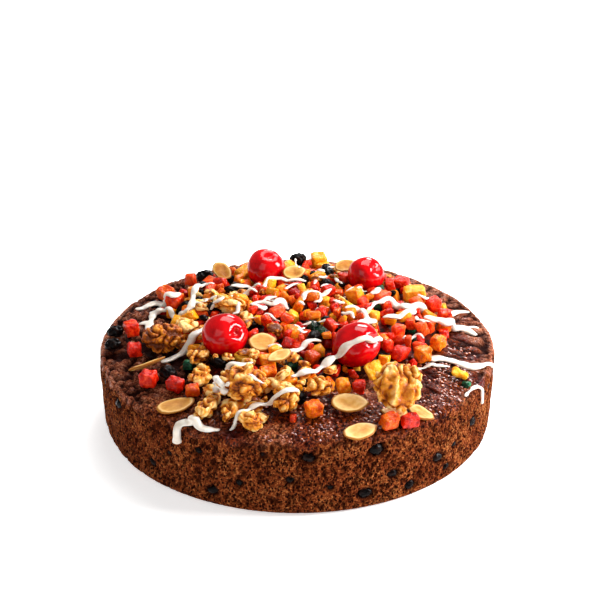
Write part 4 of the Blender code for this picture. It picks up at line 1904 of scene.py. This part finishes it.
@dataclass
class Icing:
    """Icing run from a spoon: round ended strands that sag over what lies below them."""

    bed: Bed
    flat: float = 0.33
    swell: float = 1.6
    bridge: float = 2.0 * MM
    blur: float = 1.2 * MM
    dabs: int = 46
    dab_reach: float = 62 * MM
    dab_widths: tuple[float, float] = (1.1, 2.3)
    cherry_gap: float = 15.0 * MM
    # A drip: the length and the fall of its bend over the shoulder, and the wall it runs down.
    bend: float = 5 * MM
    fall: float = 4 * MM
    wall: float = 100.4 * MM
    seed: int = 3
    step: float = 0.45 * MM
    voxel: float = 0.5 * MM
    drape: np.ndarray = field(init=False)
    strands: tuple[Strand, ...] = (
        Strand(((-84, 35), (-79, 38), (-75, 41), (-70, 37), (-65, 30), (-62, 32)), 2.8),
        Strand(((-76, 27), (-71, 26), (-67, 24), (-63, 18), (-59, 15), (-56, 12), (-54, 17),
                (-54, 30), (-51, 38), (-48, 41), (-44, 38)), 2.3),
        Strand(((-75, 26), (-76, 18), (-77, 7)), 2.3),
        Strand(((-76, 18), (-81, 16)), 2.3),
        Strand(((-66, -27), (-62, -24), (-57, -21), (-52, -19), (-49, -17), (-47, -13)), 2.6),
        Strand(((-22, -48), (-27, -49), (-32, -47), (-36, -49), (-38, -56), (-38, -68),
                (-35, -73), (-32, -74)), 2.4),
        Strand(((-23, -71), (-19, -74), (-14, -74)), 1.3),
        Strand(((-31, -88), (-28, -86), (-24, -83), (-20, -79), (-14, -77), (-8, -78),
                (0, -76)), 2.3),
        Strand(((-37, -88), (-43, -87), (-48, -83), (-51, -81), (-55, -81)), 3.3, 6.0),
        Strand(((-34, 32), (-30, 33), (-25, 35), (-20, 31)), 2.3),
        Strand(((-34, 21), (-29, 22), (-25, 24), (-21, 21)), 2.0),
        Strand(((-17, 28), (-16, 33), (-13, 37), (-9, 38), (-4, 36), (4, 37)), 2.0),
        Strand(((-6, 26), (-3, 30), (0, 31)), 1.5),
        Strand(((-23, 8), (-20, 10), (-16, 9), (-12, 5), (-9, 9), (-5, 6)), 2.3),
        Strand(((-17, -5), (-15, -2), (-12, -6), (-9, -12)), 1.5),
        Strand(((3, 10), (4, 14), (7, 15), (11, 16), (14, 19), (17, 22)), 1.8),
        Strand(((3, -14), (8, -13), (14, -12)), 1.5),
        Strand(((25, 5), (28, 6), (31, 3), (33, -2), (35, -6), (38, -8), (33, -10),
                (27, -16), (21, -22)), 2.3),
        Strand(((36, 3), (38, 9), (40, 13), (44, 13)), 1.8),
        Strand(((-5, -38), (-2, -38), (2, -35), (5, -31), (11, -29)), 2.3),
        Strand(((-13, -32), (-9, -33)), 2.5),
        Strand(((-2, -58), (3, -56), (7, -54), (12, -50), (17, -46), (22, -45), (29, -45),
                (35, -42), (40, -37)), 2.8),
        Strand(((1, 44), (0, 55), (-1, 73)), 1.5),
        Strand(((43, 14), (47, 17), (52, 16), (56, 11), (60, 13), (66, 17)), 3.3),
        Strand(((44, -3), (49, -2), (53, 0), (57, 4), (60, 9)), 2.3),
        Strand(((66, 6), (72, 6), (76, 4), (80, 9), (84, 11), (91, 8)), 3.6),
        Strand(((88, 14), (93, 14)), 1.8),
        Strand(((80, 26), (84, 31), (90, 34)), 2.8),
        Strand(((67, -25), (70, -23), (76, -24), (81, -27), (86, -29), (91, -26),
                (97, -22)), 3.3),
        Strand(((50, -42), (56, -37), (63, -33), (69, -30), (75, -30)), 1.9),
        Strand(((81, -55), (83, -51), (87, -46), (90, -44)), 1.8, 5.0),
        Strand(((53, -20), (56, -15), (60, -10), (63, -15)), 1.5),
    )

    def scattered(self) -> list[Strand]:
        """Lay short dribbles between the long ones, by chance over the heap.

        Returns:
            The dribbles.
        """
        chance = random.Random(self.seed)
        cherries = [Axes.of(name).centre.xy for name in names_of("cherry_")]
        found = []
        for _ in range(self.dabs):
            far = self.dab_reach / MM * math.sqrt(chance.random())
            angle, turn = chance.uniform(0, 2 * math.pi), chance.gauss(0, 0.7)
            x, y = math.cos(angle) * far + 8, math.sin(angle) * far * 0.85 + 12
            points = [(x, y)]
            near = min((Vector((x, y)) * MM - middle).length for middle in cherries)
            if near < self.cherry_gap:
                continue
            for _ in range(chance.choice((1, 1, 2, 3))):
                length = chance.uniform(1.5, 3.0)
                x, y = x + math.cos(turn) * length, y + math.sin(turn) * length
                turn += chance.gauss(0, 0.7)
                points.append((x, y))
            found.append(Strand(tuple(points), chance.uniform(*self.dab_widths)))
        return found

    def smooth_line(self, knots: np.ndarray) -> list[np.ndarray]:
        """Points along a smooth curve through knots.

        Args:
            knots: The knots, one in each row.

        Returns:
            The points, about a step apart.
        """
        ends = np.concatenate([[2 * knots[0] - knots[1]], knots, [2 * knots[-1] - knots[-2]]])
        plan = []
        for number in range(1, len(ends) - 2):
            p0, p1, p2, p3 = ends[number - 1:number + 3]
            count = max(int(np.linalg.norm(p2 - p1) / self.step), 2)
            for part in range(count):
                t = part / count
                plan.append(0.5 * (2 * p1 + (p2 - p0) * t + (2 * p0 - 5 * p1 + 4 * p2 - p3) * t * t
                                   + (3 * p1 - p0 - 3 * p2 + p3) * t ** 3))
        plan.append(knots[-1])
        return plan

    def follow(self, strand: Strand) -> list[Bead]:
        """Points along a strand with its half width there.

        Args:
            strand: The strand.

        Returns:
            Beads, close together.
        """
        plan = self.smooth_line(np.array(strand.points) * MM)
        half = strand.width * self.swell / 2 * MM
        found = []
        for index, (x, y) in enumerate(plan):
            end = min(index, len(plan) - 1 - index) * self.step / half
            swell = 1 + 0.6 * noise.noise(Vector((x, y, 0.0)) / (6 * MM) + Vector((3, 1, 0)))
            width = half * swell * (0.75 + 0.25 * min(end * 0.7, 1.0))
            height = self.bed.read(self.drape, x, y) + width * self.flat * 0.35
            found.append((Vector((x, y, height)), width))
        return found + self.run_down(strand, found[-1][0], half)

    def run_down(self, strand: Strand, start: Vector, half: float) -> list[Bead]:
        """Points of a strand's drip over the shoulder and down the side.

        Args:
            strand: The strand.
            start: Where it leaves the top.
            half: Its half width.

        Returns:
            Beads, or none where it has no drip.
        """
        found = []
        angle = math.atan2(start.y, start.x)
        begin = start.xy.length
        steps = int((strand.drip * MM + self.fall) / self.step) if strand.drip else 0
        for step in range(steps):
            gone = step * self.step
            lean = min(gone / self.bend, 1.0) * math.pi / 2
            radius = begin + (self.wall - begin) * math.sin(lean)
            height = start.z - (1 - math.cos(lean)) * self.fall - max(gone - self.bend, 0)
            bulb = 1 + 0.25 * smoothstep(0.7, 1.0, step / steps)
            found.append((Vector((*polar(radius, angle), height)), half * 0.8 * bulb))
        return found

    def build(self) -> None:
        """Fuse beads laid along every strand into smooth icing."""
        self.drape = self.bed.draped(self.bridge, self.blur)
        drop = bmesh.new()
        bmesh.ops.create_icosphere(drop, subdivisions=2, radius=1.0)
        bead = kept_mesh("bead", drop)
        shape = bmesh.new()
        for strand in (*self.strands, *self.scattered()):
            for place, half in self.follow(strand):
                stamp(shape, bead, drop_matrix(place, half, self.flat))
        piece = place_piece("icing_drizzle", shape, ICING)
        fuse = piece.modifiers.new("fuse", "REMESH")
        fuse.mode = "VOXEL"
        fuse.voxel_size = self.voxel
        soften = piece.modifiers.new("soften", "SMOOTH")
        soften.factor = 0.6
        soften.iterations = 6
        graph = bpy.context.evaluated_depsgraph_get()
        fused = bpy.data.meshes.new_from_object(piece.evaluated_get(graph))
        piece.modifiers.clear()
        rough = piece.data
        piece.data = fused
        bpy.data.meshes.remove(rough)
        fused.shade_smooth()
        if not fused.materials:
            fused.materials.append(ICING.material())
        LOG.info("icing fused to %d faces", len(fused.polygons))


# ---------------------------------------------------------------- stage


@dataclass
class Studio:
    """White floor, soft lights and the camera."""

    elevation: float = 29.0
    distance: float = 900 * MM
    look_height: float = 20 * MM
    lens: float = 104.8
    aim_up: float = 2.52
    aim_right: float = 0.10
    sky: float = 0.25
    # The height that the lights aim at, and each light's name, place, size and power in watts.
    light_height: float = 40 * MM
    lights: tuple[tuple[str, tuple[float, float, float], tuple[float, float], float], ...] = (
        ("key", (1.0, -0.05, 0.5), (0.42, 0.6), 23.0),
        ("top", (0.2, 0.5, 1.0), (0.8, 0.6), 10.0),
        ("back", (0.25, 1.0, 0.65), (0.4, 0.25), 7.0),
        ("front", (-0.5, -1.0, 0.8), (1.0, 1.0), 4.0),
    )

    def build(self) -> None:
        """Make the floor, the sky, the lights and the camera."""
        shape = bmesh.new()
        bmesh.ops.create_circle(shape, cap_ends=True, segments=96, radius=12.0)
        bmesh.ops.translate(shape, vec=(0, 0, -0.05 * MM), verts=shape.verts)
        mesh = kept_mesh("floor", shape)
        mesh.materials.append(StudioFloor("paper_sweep", "").material())
        floor = add_object("floor", mesh)
        self.add_sky()
        for name, place, size, power in self.lights:
            self.add_light(name, place, size, power)
        self.add_camera()
        bpy.context.scene.view_settings.view_transform = "Standard"

    def add_sky(self) -> None:
        """Surround the stage with even white, brighter to the eye than as a light."""
        world = bpy.data.worlds.new("studio")
        bpy.context.scene.world = world
        world.use_nodes = True
        tree = world.node_tree
        tree.nodes.clear()
        seen = add_node(tree, "LightPath").outputs["Is Camera Ray"]
        strength = add_node(tree, "MapRange", {"Value": seen, 3: self.sky, 4: 1.0})
        sky = add_node(tree, "Background", {"Color": linear("#ffffff"), "Strength": strength})
        add_node(tree, "OutputWorld", {"Surface": sky})

    def add_light(self, name: str, place: tuple[float, float, float],
                  size: tuple[float, float], power: float) -> None:
        """Add a soft light aimed at the cake.

        Args:
            name: The light's name.
            place: Where it stands.
            size: Its width and height.
            power: Its power in watts.
        """
        data = bpy.data.lights.new(name, "AREA")
        data.shape = "RECTANGLE"
        data.size, data.size_y = size
        data.energy = power
        light = add_object(name, data)
        light.location = place
        towards = Vector((0, 0, self.light_height)) - Vector(place)
        light.rotation_euler = towards.to_track_quat("-Z", "Y").to_euler()

    def add_camera(self) -> None:
        """Add the camera in front of and above the cake."""
        data = bpy.data.cameras.new("camera")
        data.lens = self.lens
        camera = add_object("camera", data)
        lean = math.radians(self.elevation)
        camera.location = (0.0, -self.distance * math.cos(lean),
                           self.look_height + self.distance * math.sin(lean))
        camera.rotation_euler = (math.radians(90 - self.elevation + self.aim_up), 0.0,
                                 -math.radians(self.aim_right))
        bpy.context.scene.camera = camera


def main() -> None:
    """Build every piece in order."""
    logging.basicConfig(level=logging.INFO, format="%(message)s")
    bed = Bed()
    raisins = SideRaisins()
    body = CakeBody()
    body.build(bed, raisins.places())
    SyrupBeads().build(bed, body)
    kept = Cherries().build() + Walnuts().build() + AlmondFlakes().build()
    kept += LaidPieces().build()
    points = [surface_points(piece.data, 0.5 * MM) for piece in kept]
    for cloud in points:
        bed.keep_below(cloud)
    FruitHeap(bed).build()
    for cloud in points:
        bed.cover(cloud)
    raisins.build()
    Icing(bed).build()
    Studio().build()


if __name__ == "__main__":
    main()
